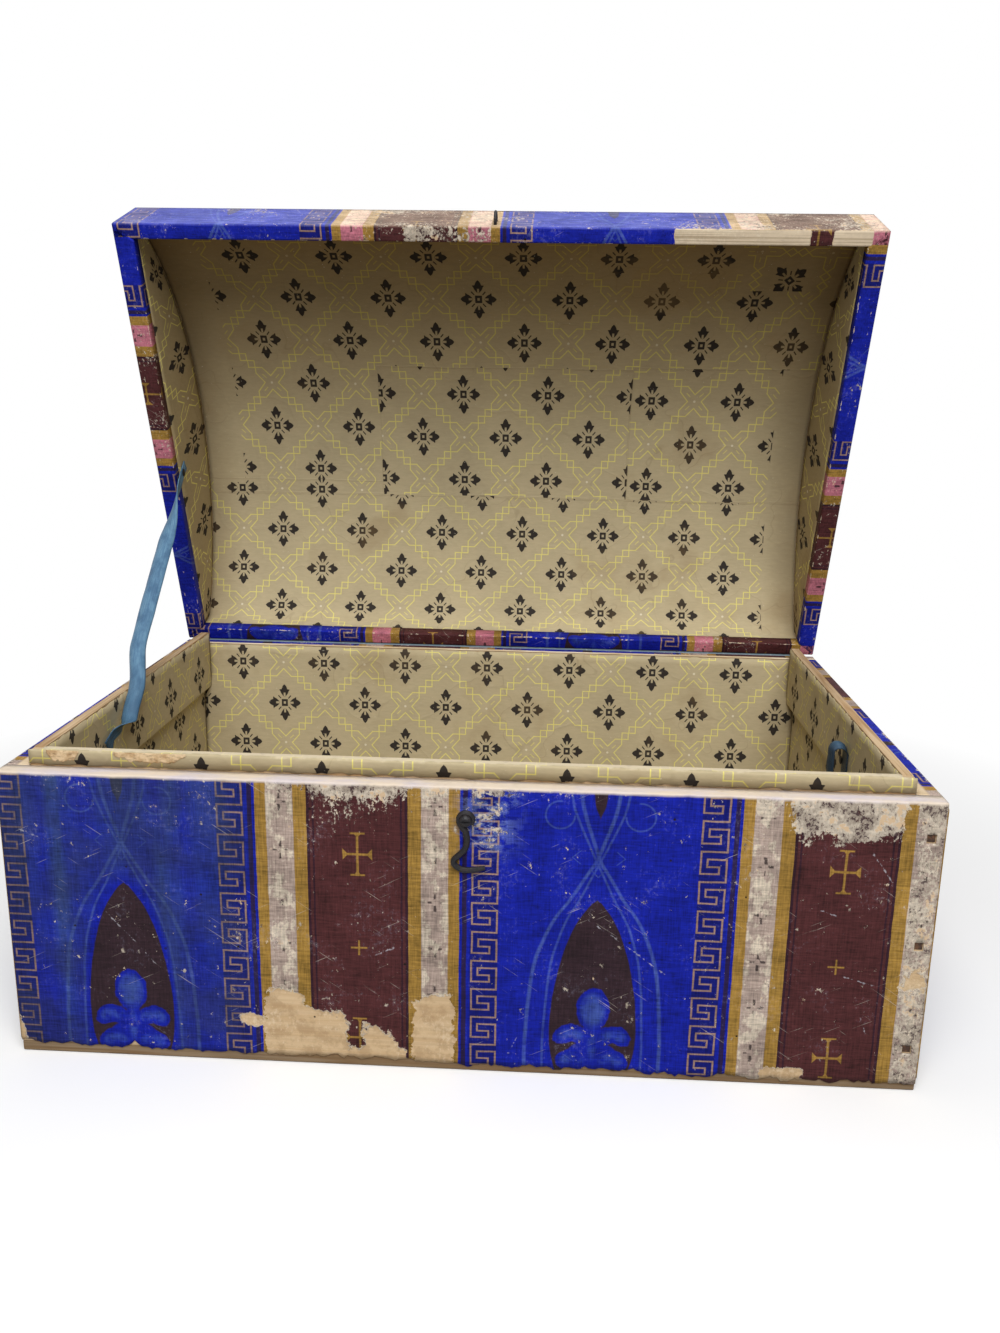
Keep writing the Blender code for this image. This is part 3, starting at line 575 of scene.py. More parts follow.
def wallpaper(finish, across, along, stripe):
    """The print as it was new, in millimetres across and up the sheet."""
    side = from_arch(across)
    out = abs(side)
    columns = (
        (0, BLUE), (54.6, KEY_BLUE), (70.4, BLUE), (72.2, DARK), (74.8, BLUE), (MUSTARD_FROM, MUSTARD),
        (STRIPE_FROM, stripe), (STRIPE_TO, MUSTARD), (MAROON_FROM, MAROON_EDGE), (106.6, MAROON),
        (108.4, MAROON_EDGE), (109.4, MAROON),
    )
    stops = tuple((edge / HALF_REPEAT, colour) for edge, colour in columns)
    settings = {"stops": stops, "steps": "CONSTANT"}
    finish.colour = finish.node("ValToRGB", settings, {"Fac": out / HALF_REPEAT}).outputs[0]

    in_key = out.between(KEY_FROM - 1, KEY_FROM + KEY_WIDTH + 1, 0.2)
    finish.coat(LINE, meander(side, along).below(KEY_LINE, 0.35) * in_key * 0.85)

    mark_x, mark_y = abs(out - MARK_OUT), abs((along - MARK_AT).wrap(-MARK_PITCH / 2, MARK_PITCH / 2))
    upright = (mark_x - 0.55).most(abs(mark_y - 3.6) - 1.7)
    dash = upright.least((mark_y - 0.45).most(abs(mark_x - 3.0) - 1.1))
    ragged = mottle(finish, 190, 4.0) - 0.5
    finish.coat(MARK, (dash + ragged * 2.6 - 0.1).below(0, 0.4) * 0.85)
    finish.coat(GOLD, crosses(out, along).below(0, 0.4))

    height = along.wrap(LEAF_LOW, LEAF_LOW + ARCH_RISE)
    leaf = profile(finish, height, LEAF_HALF, LEAF_LOW, ARCH_RISE, LEAF_TOP)
    finish.coat(LEAF, (out - leaf).below(-0.2, 0.5))
    palm = reduce(melted, [lobe(out, height, place) for place in PALM_LOBES]) + ragged * 3
    shown = height.between(*PALM_SHOWN, 0.5)
    base = oval(out, height, PALM_BASE).below(1, 0.08)
    finish.coat(BLUE, palm.below(0.2, 0.6).most(base) * shown)
    finish.coat(PALM, palm.below(-2.2, 2) * shown * (ragged * 4 + 0.6))
    finish.coat(HEART, oval(out, height, PALM_HEART).below(0.8, 0.9) * 0.5)

    rise = along.wrap(STRAND_LOW, STRAND_LOW + ARCH_RISE)
    bend = profile(finish, rise, STRAND_SIDE, STRAND_LOW, ARCH_RISE, STRAND_TOP, STRAND_LIFT)
    spread = abs(bend) * 0.12 + 1.1
    outer, inner = abs(out - abs(bend + spread)), abs(out - abs(bend - spread))
    pair = outer.below(1.0, 0.9).most(inner.below(0.65, 0.7) * 0.85) * (ragged * 1.5 + 0.85)
    knot = abs(out * 0.26 + abs(rise - KNOT_AT) * 0.25 - 1).below(0.12, 0.12)
    peak = abs(rise - CHEVRON_AT)
    chevron = abs(out + peak * 1.15 - 14.5).below(0.4, 0.4) * peak.below(4, 0.4)
    curl_x, curl_y = out - CURL_AT[0], rise - CURL_AT[1]
    curl = abs(curl_x.radius(curl_y) - CURL_RADIUS).below(0.45, 0.6)
    curl = curl * (1 - curl_x.below(-1, 1) * curl_y.above(0, 1))
    faint = pair.most(knot * 0.6).most(chevron * 0.7).most(curl * 0.8) * out.below(ARCH_HALF, 0.5)
    finish.coat(STRAND, faint * 0.52)


def print_mark(finish):
    return finish.node("Attribute", {"attribute_name": "print"}).outputs["Vector"]


def printed(finish):
    """A point's place in the print, across and along in millimetres."""
    apart = finish.node("SeparateXYZ", None, {0: print_mark(finish)}).outputs
    return Signal(finish, apart[0]), Signal(finish, apart[1])


def block_printed(finish, stripe):
    """Prints the wallpaper, with the waver of a hand-pulled block, and gives a point's place in it."""
    across, along = printed(finish)
    waver = mottle(finish, 70) - 0.5
    across, along = across + waver * 0.9, along + waver * 0.7
    wallpaper(finish, across, along, stripe)
    return across, along


def worn(finish, flecks, bare):
    """Ages a print: uneven ink, scratches, and flecks and bare wood by shares. Gives its relief."""
    fibre = mottle(finish, (110, 110, 1100), 3.0, 0.6)
    thread = mottle(finish, (1300, 1300, 90), 2.0, 0.5)
    cloud = mottle(finish, 30, 6.0, 0.66)
    crumb = mottle(finish, (480, 480, 360), 5.0, 0.7)
    light = 0.97 + (cloud - 0.5) * 1.6 + (fibre - 0.5) * 1.4 + (thread - 0.5) * 1.0 + (crumb - 0.5) * 0.5
    finish.shade(light.most(0.35))
    finish.coat(ink(150, 150, 170), (cloud * 0.5 + crumb * 0.5).above(0.61, 0.12) * 0.25)
    ways = [turned(finish, (0, turn, 0)) for turn in (-0.6, 0.45)]
    hairs = [mottle(finish, (34, 34, 1600), 1.0, 0.4, way) for way in ways]
    scratch = reduce(Signal.most, hairs).above(0.772, 0.03)
    finish.coat(WHITE_WEAR, scratch * cloud.above(0.5, 0.1) * 0.45)
    chip = mottle(finish, (230, 230, 184), 6.0, 0.72) + (cloud - 0.5) * 0.35
    lost = (crumb + cloud * 0.5 + flecks * 0.46).above(1.07, 0.05).most(chip.above(0.668, 0.025))
    patch = mottle(finish, 110, 5.0, 0.65)
    pale = (crumb * 0.4 + patch * 0.6).above(0.51, 0.14)
    chalk = finish.paint(ink(156, 144, 130), ink(220, 207, 188), pale)
    chalk = finish.paint(chalk, ink(214, 182, 142), patch.above(0.60, 0.04) * 0.8)
    flake = mottle(finish, (420, 420, 336), 5.0, 0.7)
    chalk = finish.paint(chalk, ink(60, 40, 46), (flake - patch * 0.6).above(0.29, 0.03) * 0.9)
    finish.coat(chalk, lost * 0.92)
    wood = finish.paint(pine_look(finish, finish.place)[0], BARE, 0.5)
    wood = finish.paint(wood, ink(164, 132, 96), patch.above(0.53, 0.12) * 0.45)
    wood = finish.paint(wood, ink(236, 216, 184), (crumb * 0.5 + cloud * 0.5).above(0.56, 0.08) * 0.5)
    jag = bare + (crumb - 0.5) * 0.5 + (mottle(finish, 150, 5.0, 0.65) - 0.5) * 1.7
    gone = jag.above(0.5, 0.06)
    finish.coat(ink(230, 216, 194), jag.between(0.42, 0.50, 0.05) * 0.8)
    finish.coat(wood, gone)
    cells = finish.node("TexVoronoi", None, {"Vector": finish.place, "Scale": 95, "Randomness": 1.0})
    chosen = finish.signal("SeparateColor", 0, None, {0: cells.outputs["Color"]}).above(0.84, 0.02)
    hole = Signal(finish, cells.outputs["Distance"]).below(0.075, 0.03) * chosen
    finish.coat(ink(30, 20, 16), hole)
    return fibre * 0.35 + crumb * 0.25 - lost * 0.35 - gone - hole


def papered(finish, relief):
    return dressed(finish, relief * 0.1 + 0.62, relief, 0.0005)


# Bare patches at the foot of the front, as the height of the paper's torn edge: across, up
TORN = ((-140, -20), (-116, -20), (-113.6, 28), (-112, 41), (-106, 48), (-98, 46), (-92, 42), (-88, 37),
        (-78, 35), (-70, 33), (-63, 29), (-54, 27), (-45, 23.5), (-39, 20), (-37, 12.5), (-31.5, 10),
        (-29, -20), (-28, 12), (-26, 44), (-15, 47.5), (-6, 48), (-4, 26), (-3, -20), (0, -20))
TORN_LOW, TORN_SPAN, TORN_TOP, TORN_LIFT = -140, 140, 80, 20
# Single marks of wear: ovals by middle and half size, rectangles by their four sides, bands by middle
TONGUE, KEPT_CROSS, LEFT_LEAF = (-120, 26.5, 8, 4.2), (-61, 19, 6.5, 10), (ARCH - REPEAT, 30, 27, 86)
LEFT_CORNER, RIGHT_PATCH = (-261, 12, 5, 14), (253, 69, 8, 7)
RIGHT_FOOT, RIGHT_TOP = (172, 196, -5, 10.5), (178, 238, 153, 190)
LEFT_TOP, HOOK_SCUFF = (-86, -34, 160, 190), (2, 27, 140, 182)
RIM_FOLD, INNER_RIM = 173.4, (183.0, 190.0)
DUST_BANDS, DULL_FROM = ((-166, 9, 12), (-229, 7, 10)), -122
# Scratches on the front, from one end to the other
FRONT_SCRATCHES = ((-250, 141, -230, 133), (-203, 92, -175, 59), (-50, 71, -38, 77), (223, 144, 235, 128),
                   (196, 110.5, 206, 107), (214, 70, 233, 65), (225, 46, 229, 35), (70, 99, 88, 87),
                   (88, 87, 115, 67), (28, 13, 34, 27))


def slant(across, along, x, y, run_x, run_y, length):
    """How far a point is outside a line that runs from a place, in a direction, for a length."""
    off_x, off_y = across - x, along - y
    aside = abs(off_x * run_y - off_y * run_x)
    return aside.most(abs(off_x * run_x + off_y * run_y - length / 2) - length / 2)


def scratch_gap(across, along, ends):
    x, y, to_x, to_y = ends
    length = math.hypot(to_x - x, to_y - y)
    return slant(across, along, x, y, (to_x - x) / length, (to_y - y) / length, length)


def front_look(name):
    """The front sheet: two patches bare of paper at its foot, and more loss at the top and the right."""
    paper = new_finish(name)
    across, along = block_printed(paper, FADED_PINK)
    top = mottle(paper, 60) * 30 - 15
    dust = mottle(paper, (60, 60, 9), 4.0).above(0.46, 0.3)
    bands = [abs(across - middle).below(half, soft) for middle, half, soft in DUST_BANDS]
    band = reduce(Signal.most, bands).most(across.below(DULL_FROM - 6, 20) * 0.4)
    clear = oval(across, along, LEFT_LEAF).above(1, 0.15)
    paper.coat(ink(64, 88, 112), band * dust * clear * (along * 0.004 + 0.12))
    dull = mottle(paper, 34, 4.0).above(0.45, 0.25) * across.below(DULL_FROM, 16)
    paper.coat(ink(44, 50, 78), dull * clear * 0.5)

    ragged = (mottle(paper, 200, 5.0, 0.65) - 0.5) * 12
    torn = profile(paper, across + ragged, TORN, TORN_LOW, TORN_SPAN, TORN_TOP, TORN_LIFT)
    bare = along.below(torn, 10) * across.between(TORN_LOW, TORN_LOW + TORN_SPAN, 1)
    bare = bare.most(oval(across, along, TONGUE).below(1, 1.2))
    bare = bare * oval(across, along, KEPT_CROSS).above(0.9, 1.3)
    bare = bare.most(box_of(across + ragged, along, *RIGHT_FOOT, 5))
    bare = bare.most(oval(across, along, LEFT_CORNER).below(0.7, 1.4))
    bare = bare.most(oval(across, along, RIGHT_PATCH).below(0.8, 1.8))

    right_top = box_of(across, along + top, *RIGHT_TOP, 9)
    strip = (across + top * 0.2).above(244, 6)
    drip = mottle(paper, (260, 260, 34), 4.0) * 60 - 30
    left_top = box_of(across, along + drip, *LEFT_TOP, 26)
    scuff = box_of(across + top * 0.5, along + top, *HOOK_SCUFF, 18)
    smear = mottle(paper, (90, 90, 150), 5.0, 0.65)
    paper.coat(ink(128, 148, 208), scuff * smear.above(0.49, 0.06) * 0.5)
    out = abs(from_arch(across))
    grey, maroon = out.between(STRIPE_FROM, STRIPE_TO, 1), out.above(MAROON_FROM, 1)
    flecks = right_top.most(strip * 0.3).most(left_top * 0.54).most(scuff * smear.above(0.5, 0.1) * 0.85)
    flecks = (flecks + grey * 0.4 + maroon * 0.26 + along.above(168, 8) * 0.38).least(1.0)

    line = nearest(scratch_gap(across, along, ends) for ends in FRONT_SCRATCHES)
    broken = (mottle(paper, 500) - 0.5) * 4.2
    paper.coat(ink(186, 182, 190), (line + broken).below(-0.1, 0.5) * 0.6)
    blotch = mottle(paper, (95, 95, 66.5), 5.0, 0.7)
    paper.coat(ink(214, 201, 180), blotch.above(0.53, 0.06) * grey * 0.75)
    relief = worn(paper, flecks, bare)
    pale = mottle(paper, (30, 90, 90), 4.0).above(0.52, 0.2)
    rim = paper.paint(ink(218, 202, 182), ink(206, 196, 198), pale)
    paper.coat(rim, (along + top * 0.06).above(RIM_FOLD, 1.4))
    return papered(paper, relief)


def side_look(name, on_base):
    """The other sheets, with scattered loss. On the base they are worn at the foot and at the rim."""
    paper = new_finish(name)
    across, along = block_printed(paper, FADED_PINK)
    drift = mottle(paper, 30)
    bare = drift.above(0.9, 0.1)
    grey = abs(from_arch(across)).between(STRIPE_FROM, STRIPE_TO, 1)
    flecks = grey * 0.3 + drift.above(0.56, 0.2) * 0.4
    if on_base:
        bare = (along + drift * 8).below(9.5, 4) * 0.9
        flecks = flecks + abs(along - RIM * MM).below(1.0, 2.0) * 0.5
    relief = worn(paper, flecks, bare)
    if on_base:
        rim = paper.paint(ink(226, 208, 180), ink(202, 178, 142), drift.above(0.5, 0.2))
        paper.coat(rim, (along + drift * 4).between(*INNER_RIM, 1.5))
    return papered(paper, relief)


front_paper = front_look("front_wallpaper")
side_paper = side_look("side_wallpaper", True)
out_x, out_y = HALF_WIDTH + STAND_OFF, HALF_DEPTH + STAND_OFF
lap_x, lap_y = HALF_WIDTH - BASE_END + STAND_OFF, HALF_DEPTH - BASE_BOARD + STAND_OFF
rim_y = HALF_DEPTH - BASE_BOARD - STAND_OFF
wide_x, wide_y, narrow_y = (-HALF_WIDTH, HALF_WIDTH), (-HALF_DEPTH, HALF_DEPTH), (-rim_y, rim_y)
FRONT_FOOT, FOOT_REACH, FOOT_LEAST = 0.0015, 0.016, 0.0008
# The front sheet's torn lower edge: across in metres, up in millimetres
FOOT_EDGE = ((-0.260, 6.0), (-0.218, 4.6), (-0.197, 4.0), (-0.192, 9.5), (-0.188, 4.2), (-0.150, 4.0),
             (-0.030, 4.5), (-0.004, 2.5), (0.050, 3.2), (0.095, 3.6), (0.120, 2.0), (0.140, 1.5),
             (0.152, 4.5), (0.165, 2.0), (0.260, 3.2))


def foot_height(x):
    """Height of the front sheet's torn lower edge, in metres."""
    for (start, low), (end, high) in zip(FOOT_EDGE, FOOT_EDGE[1:]):
        if x <= end:
            share = min(max((x - start) / (end - start), 0.0), 1.0)
            break
    tear = 0.5 * noise.noise(Vector((x * 300, 0, 5))) + 0.3 * noise.noise(Vector((x * 900, 2, 5)))
    return max(FOOT_LEAST, (low + (high - low) * share + tear) / MM)


def tear_foot(sheet):
    """Draws the sheet's lowest rows up to its torn edge, with their print."""
    layer = sheet.verts.layers.float_vector["print"]
    for vert in sheet.verts:
        if vert.co.z < FOOT_REACH:
            torn = foot_height(vert.co.x)
            share = (vert.co.z - FRONT_FOOT) / (FOOT_REACH - FRONT_FOOT)
            vert.co.z = torn + share * (FOOT_REACH - torn)
            vert[layer].y = vert.co.z * MM


def cut_nail_holes(sheet):
    """Cuts a square hole over each nail head at the right front corner."""
    cuts = [((NAIL_X + side, 0, 0), (1, 0, 0)) for side in (-NAIL_HOLE, NAIL_HOLE)]
    cuts += [((0, 0, up + side), (0, 0, 1)) for up in NAIL_HEIGHTS for side in (-NAIL_HOLE, NAIL_HOLE)]
    for plane, normal in cuts:
        parts = [*sheet.verts, *sheet.edges, *sheet.faces]
        bmesh.ops.bisect_plane(sheet, geom=parts, plane_co=plane, plane_no=normal, dist=HAIR)
    lost = []
    for face in sheet.faces:
        middle = face.calc_center_median()
        over_nail = any(abs(middle.z - up) < NAIL_HOLE for up in NAIL_HEIGHTS)
        if over_nail and abs(middle.x - NAIL_X) < NAIL_HOLE:
            lost.append(face)
    bmesh.ops.delete(sheet, geom=lost, context="FACES")


def across_x(along, across, up):
    return along, across, up


def across_y(along, across, up):
    return across, along, up


path = strip_path(((-out_y, FRONT_FOOT), (-out_y, RIM), (-lap_y, RIM)), wide_x, COVER_STEP)
sheet = paper_grid(path, FRONT_COLUMNS, across_x, (0, -1, 0.2), (0, FRONT_FOOT * MM), 1, COVER_FRAY)
tear_foot(sheet)
cut_nail_holes(sheet)
paste("front_cover_paper", sheet, front_paper, "base")
path = strip_path(((out_y, FOOT), (out_y, RIM), (lap_y, RIM)), wide_x, COVER_STEP)
sheet = paper_grid(path, FRONT_COLUMNS, across_x, (0, 1, 0.2), (2 * ARCH, FOOT * MM), -1, COVER_FRAY)
paste("back_cover_paper", sheet, side_paper, "base")

for name, way in (("left_cover_paper", -1), ("right_cover_paper", 1)):
    out_side, lap_side = way * out_x, way * lap_x
    path = bent_path(((out_side, FOOT, *wide_y), (out_side, RIM - 3 * FOLD, *wide_y),
                      (out_side, RIM, *narrow_y), (lap_side, RIM, *narrow_y)), COVER_STEP)
    print_from = (ARCH - SIDE_ARCH * way, FOOT * MM)
    sheet = paper_grid(path, SIDE_COLUMNS, across_y, (way, 0, 0.2), print_from, way, COVER_FRAY)
    paste(name, sheet, side_paper, "base")


# Lining of the base
# Tan lining paper printed with dark quatrefoils in a pale yellow lattice, pasted to the walls.
# It steps over the lip strips, and the front sheet is turned over the strip to its outer face.
LIP_FRONT, LIP_SIDE, LIP_CREST, LIP_STEP, LIP_OUTER = -0.1487, 0.2397, 0.1835, 0.1377, -0.1550
LINING_LOW, FLOOR_TOP, LAP_FOOT = 0.0070, 0.0063, 0.1752
LINING_STEP, FLOOR_STEP, LINING_COLUMNS, END_COLUMNS = 0.006, 0.01, 160, 100
LATTICE_X, LATTICE_Y = 34.0, 35.0
FLOWER_SQUASH = 0.853
FRONT_AT, BACK_AT, END_AT = (45.5, 8.0), (41.2, -153.0), (12.0, 6.0)
FRONT_FRAY, BACK_FRAY, END_FRAY = (0.0012, 0.0), (0.0, 0.0008), (0.0015, 0.0)
WORN_FOLD = (17.5, 22.5)
TAN, YELLOW, NAVY = ink(184, 169, 136), ink(224, 213, 122), ink(18, 14, 24)
# Half width of a petal at each distance from the flower's middle
PETAL = ((0, 0), (4.2, 0.0), (4.7, 1.0), (5.6, 1.8), (7, 2.9), (8.5, 3.6), (9.7, 4.3), (9.9, 2.5),
         (11, 2.1), (12.4, 1.3), (13.6, 0), (15, -1))
PETAL_REACH, PETAL_TOP = 15, 6
LATTICE_STROKES = ((11.6, 12.4, 0, 5.1), (14.2, 17.5, 2.6, 0), (11.5, 12.0, 5.3, 0),
                   (16.75, 14.75, 0, 2.75))
LATTICE_SLOPES = ((5.4, 0.0, 0.647, 0.762, 9.6), (0.0, 5.5, 0.690, 0.724, 9.0))


def lining_print(finish, across, along):
    """The lining's print, with an X of the lattice at the origin and quatrefoils a step away each way."""
    a = abs(across.wrap(-LATTICE_X, LATTICE_X))
    b = abs(along.wrap(-LATTICE_Y, LATTICE_Y))
    flip = (a / LATTICE_X + b / LATTICE_Y).above(1.0, 0.0001)
    a = a + flip * (LATTICE_X - a * 2)
    b = b + flip * (LATTICE_Y - b * 2)
    line = nearest([stroke(a, b, place) for place in LATTICE_STROKES]
                   + [slant(a, b, *place) for place in LATTICE_SLOPES])
    mark = abs(a - b).most(abs(a + b - 10.4) - 2.6)
    finish.coat(YELLOW, line.below(0.36, 0.35).most(mark.below(0.45, 0.4) * 0.8))
    finish.coat(ink(224, 216, 190), (a * a + b * b).below(0.9, 0.6) * 0.8)
    pick = (a / LATTICE_X - b / LATTICE_Y).above(0, 0.0001)
    far_x = a + pick * (LATTICE_X - a * 2)
    far_y = (LATTICE_Y - b + pick * (b * 2 - LATTICE_Y)) * FLOWER_SQUASH
    reach, aside = far_x.most(far_y), far_x.least(far_y)
    petal = profile(finish, reach.least(PETAL_REACH), PETAL, 0, PETAL_REACH, PETAL_TOP)
    flower = aside.below(petal, 0.3) * reach.above(4.2, 0.3)
    flower = flower * (1 - (abs(reach - 6.0) * 0.55).most(aside).below(0.75, 0.3))
    heart = reach.below(2.6, 0.3) * reach.above(0.9, 0.3)
    spur = abs(far_x - far_y).below(0.6, 0.4) * (far_x + far_y).between(6.2, 10.6, 0.5)
    finish.coat(NAVY, flower.most(heart).most(spur) * 0.94)


def lining_age(finish):
    """Lays faint stains, creases and rubbed spots over the lining. Gives its relief."""
    cloud = mottle(finish, 14, 4.0)
    fibre = mottle(finish, (160, 160, 700), 3.0, 0.6)
    crease = abs(mottle(finish, 22, 2.0, 0.5) - 0.5)
    speck = mottle(finish, 600, 3.0, 0.6)
    finish.shade(1.0 + (cloud - 0.5) * 0.4 + (fibre - 0.5) * 0.25)
    finish.coat(ink(128, 102, 64), cloud.above(0.62, 0.12) * 0.3)
    finish.coat(ink(104, 84, 56), crease.below(0.004, 0.004) * cloud.above(0.5, 0.1) * 0.15)
    finish.coat(ink(222, 214, 192), speck.above(0.72, 0.04) * 0.5)
    return fibre * 0.2 + crease.below(0.02, 0.03) * 0.4 + cloud * 2.0


def lined(finish, relief, seam=0.0):
    return dressed(finish, relief * 0.1 + 0.7, relief + seam, 0.0006)


def lining_look(name, ground, worn_fold=None):
    """Lining paper, rubbed pale along a fold between two heights of its print where it has one."""
    paper = new_finish(name, ground)
    across, along = printed(paper)
    lining_print(paper, across, along)
    relief = lining_age(paper)
    if worn_fold:
        rubbed = (along + mottle(paper, 120, 4.0) * 6 - 3).between(*worn_fold, 1.5)
        paper.coat(ink(214, 200, 172), rubbed * 0.85)
    return lined(paper, relief)


def widen(sheet, axis, limit, spread, start):
    """Spreads the rows that lie under a limit on one axis, with their print."""
    layer = sheet.verts.layers.float_vector["print"]
    for vert in sheet.verts:
        if vert.co[axis] < limit:
            vert.co.x *= spread
            vert[layer].x = vert.co.x * MM + start


base_lining = lining_look("base_lining", TAN)
lip_lining = lining_look("lip_lining", TAN, WORN_FOLD)
wall_x, wall_y = HALF_WIDTH - BASE_END - STAND_OFF, -HALF_DEPTH + BASE_BOARD + STAND_OFF
lip_x, lip_y = LIP_SIDE - STAND_OFF, LIP_FRONT + STAND_OFF
crest = LIP_CREST + STAND_OFF
between_lips, between_walls = lip_x - PAPER - STAND_OFF, wall_x - PAPER - STAND_OFF
lip_span, wall_span = (-between_lips, between_lips), (-between_walls, between_walls)
path = strip_path(((LIP_OUTER, LAP_FOOT), (LIP_OUTER, crest), (lip_y, crest), (lip_y, LIP_STEP),
                   (wall_y, LIP_STEP), (wall_y, LINING_LOW)), lip_span, LINING_STEP)
sheet = paper_grid(path, LINING_COLUMNS, across_x, (0, 1, 0), FRONT_AT, 1, FRONT_FRAY)
widen(sheet, 1, LIP_OUTER + FOLD, (HALF_WIDTH - BASE_END) / between_lips, FRONT_AT[0])
paste("front_lining_paper", sheet, lip_lining, "base")
path = strip_path(((rim_y, LINING_LOW), (rim_y, LIP_STEP - 2 * FOLD), (rim_y, RIM)), lip_span, LINING_STEP)
sheet = paper_grid(path, LINING_COLUMNS, across_x, (0, -1, 0), BACK_AT, 1, BACK_FRAY)
widen(sheet, 2, LIP_STEP - FOLD / 2, between_walls / between_lips, BACK_AT[0])
paste("back_lining_paper", sheet, base_lining, "base")
for name, way in (("left_lining_paper", -1), ("right_lining_paper", 1)):
    corners = ((lip_x, LIP_CREST), (lip_x, LIP_STEP), (wall_x, LIP_STEP), (wall_x, LINING_LOW))
    path = strip_path([(way * x, up) for x, up in corners], (lip_y, rim_y), LINING_STEP)
    sheet = paper_grid(path, END_COLUMNS, across_y, (-way, 0, 0), END_AT, 1, END_FRAY)
    paste(name, sheet, base_lining, "base")
path = strip_path(((wall_y, FLOOR_TOP), (rim_y, FLOOR_TOP)), wall_span, FLOOR_STEP)
sheet = paper_grid(path, END_COLUMNS, across_x, (0, 0, 1), (0.0, 0.0))
paste("floor_lining_paper", sheet, base_lining, "base")


# Torn lining on the front strip
# Two tongues of the lining that have come away at the left end of the front strip. They hang over
# its outer face, brown side out, with ragged lower edges.
FLAPS = ((-0.2355, -0.2170, 0.0085), (-0.1970, -0.1560, 0.0075))
FLAP_COLUMNS, FLAP_ROWS = 40, 8
FLAP, FLAP_BULGE, FLAP_RISE = 0.0002, 0.00015, 0.0004

torn = new_finish("torn_paper", ink(184, 152, 112))
fibre = mottle(torn, (300, 300, 900), 4.0, 0.65)
blotch = mottle(torn, 160, 3.0, 0.6)
torn.coat(ink(218, 192, 154), blotch.above(0.48, 0.2))
torn.coat(ink(112, 86, 58), fibre.above(0.58, 0.15) * 0.6)
flap_paper = dressed(torn, fibre * 0.1 + 0.7, fibre, 0.0005)
for number, (left, right, drop) in enumerate(FLAPS, 1):
    shape = bmesh.new()
    bmesh.ops.create_grid(shape, x_segments=FLAP_COLUMNS, y_segments=FLAP_ROWS, size=0.5)
    for vert in shape.verts:
        x = left + (right - left) * (vert.co.x + 0.5)
        down = 0.5 - vert.co.y
        ragged = 0.72 + 0.5 * noise.noise(Vector((x * 160, number, 0)))
        ragged += 0.25 * noise.noise(Vector((x * 600, number, 4)))
        ends = min(1.0, 4 * min(x - left, right - x) / (right - left) + 0.25)
        wave = 1 + noise.noise(Vector((x * 120, down, 9)))
        lift = FLAP + FLAP_BULGE * math.sin(math.pi * down) * wave
        vert.co = (x, LIP_OUTER - PAPER - lift, crest + FLAP_RISE - drop * down * ragged * ends)
    bmesh.ops.reverse_faces(shape, faces=shape.faces)
    smooth(shape)
    thicken(finish_piece(f"torn_flap_{number}", shape, flap_paper, "base", []), FLAP, 0.0)


# Cover paper of the lid
# The same wallpaper on the lid's four sides, wrapped round the rim, and one sheet over the dome.
# Its pink stripes keep their colour on the rim; the front rim has lost a strip on the right.
HINGE = Vector((0, 0.16725, 0.17485))
LID_TURN = Matrix.Translation(HINGE) @ Matrix.Rotation(-OPEN_ANGLE, 4, "X")
LID_RIM, LID_FRONT, LID_BACK, LID_MIDDLE = 0.00085, -0.33325, -0.00125, -0.16725
LID_BOARD, LID_END, LID_EDGE, LID_CROWN, TURN_IN = 0.009, 0.012, 0.048, 0.100, 0.008
LID_COLUMNS, GABLE_COLUMNS, DOME_COLUMNS, DOME_STEPS = 200, 140, 120, 56
DOME_RISE = LID_CROWN - LID_EDGE
DOME_RADIUS = (HALF_DEPTH**2 + DOME_RISE**2) / (2 * DOME_RISE)
DOME_CENTRE = LID_RIM + LID_CROWN - DOME_RADIUS
DOME_SPAN = math.asin(HALF_DEPTH / DOME_RADIUS)
PINK = ink(186, 112, 128)
LID_SHIFT, LID_RISE, DOME_AT = 5.0, 115.0, 48.0
LID_INNER_EDGE, LID_OUTER_EDGE = 8.2, 17.4
FRONT_FACE = LID_RISE + LID_OUTER_EDGE
LOST_STRIP = (120, 251, FRONT_FACE - 11, FRONT_FACE + 0.2)
KEPT_PIECE = (204, 219, FRONT_FACE - 13, FRONT_FACE + 2)
RUBBED_RIM = (-66, -4, FRONT_FACE - 9.5, FRONT_FACE)
GABLES = (("lid_left_cover_paper", -1, 253.0), ("lid_right_cover_paper", 1, 91.0))


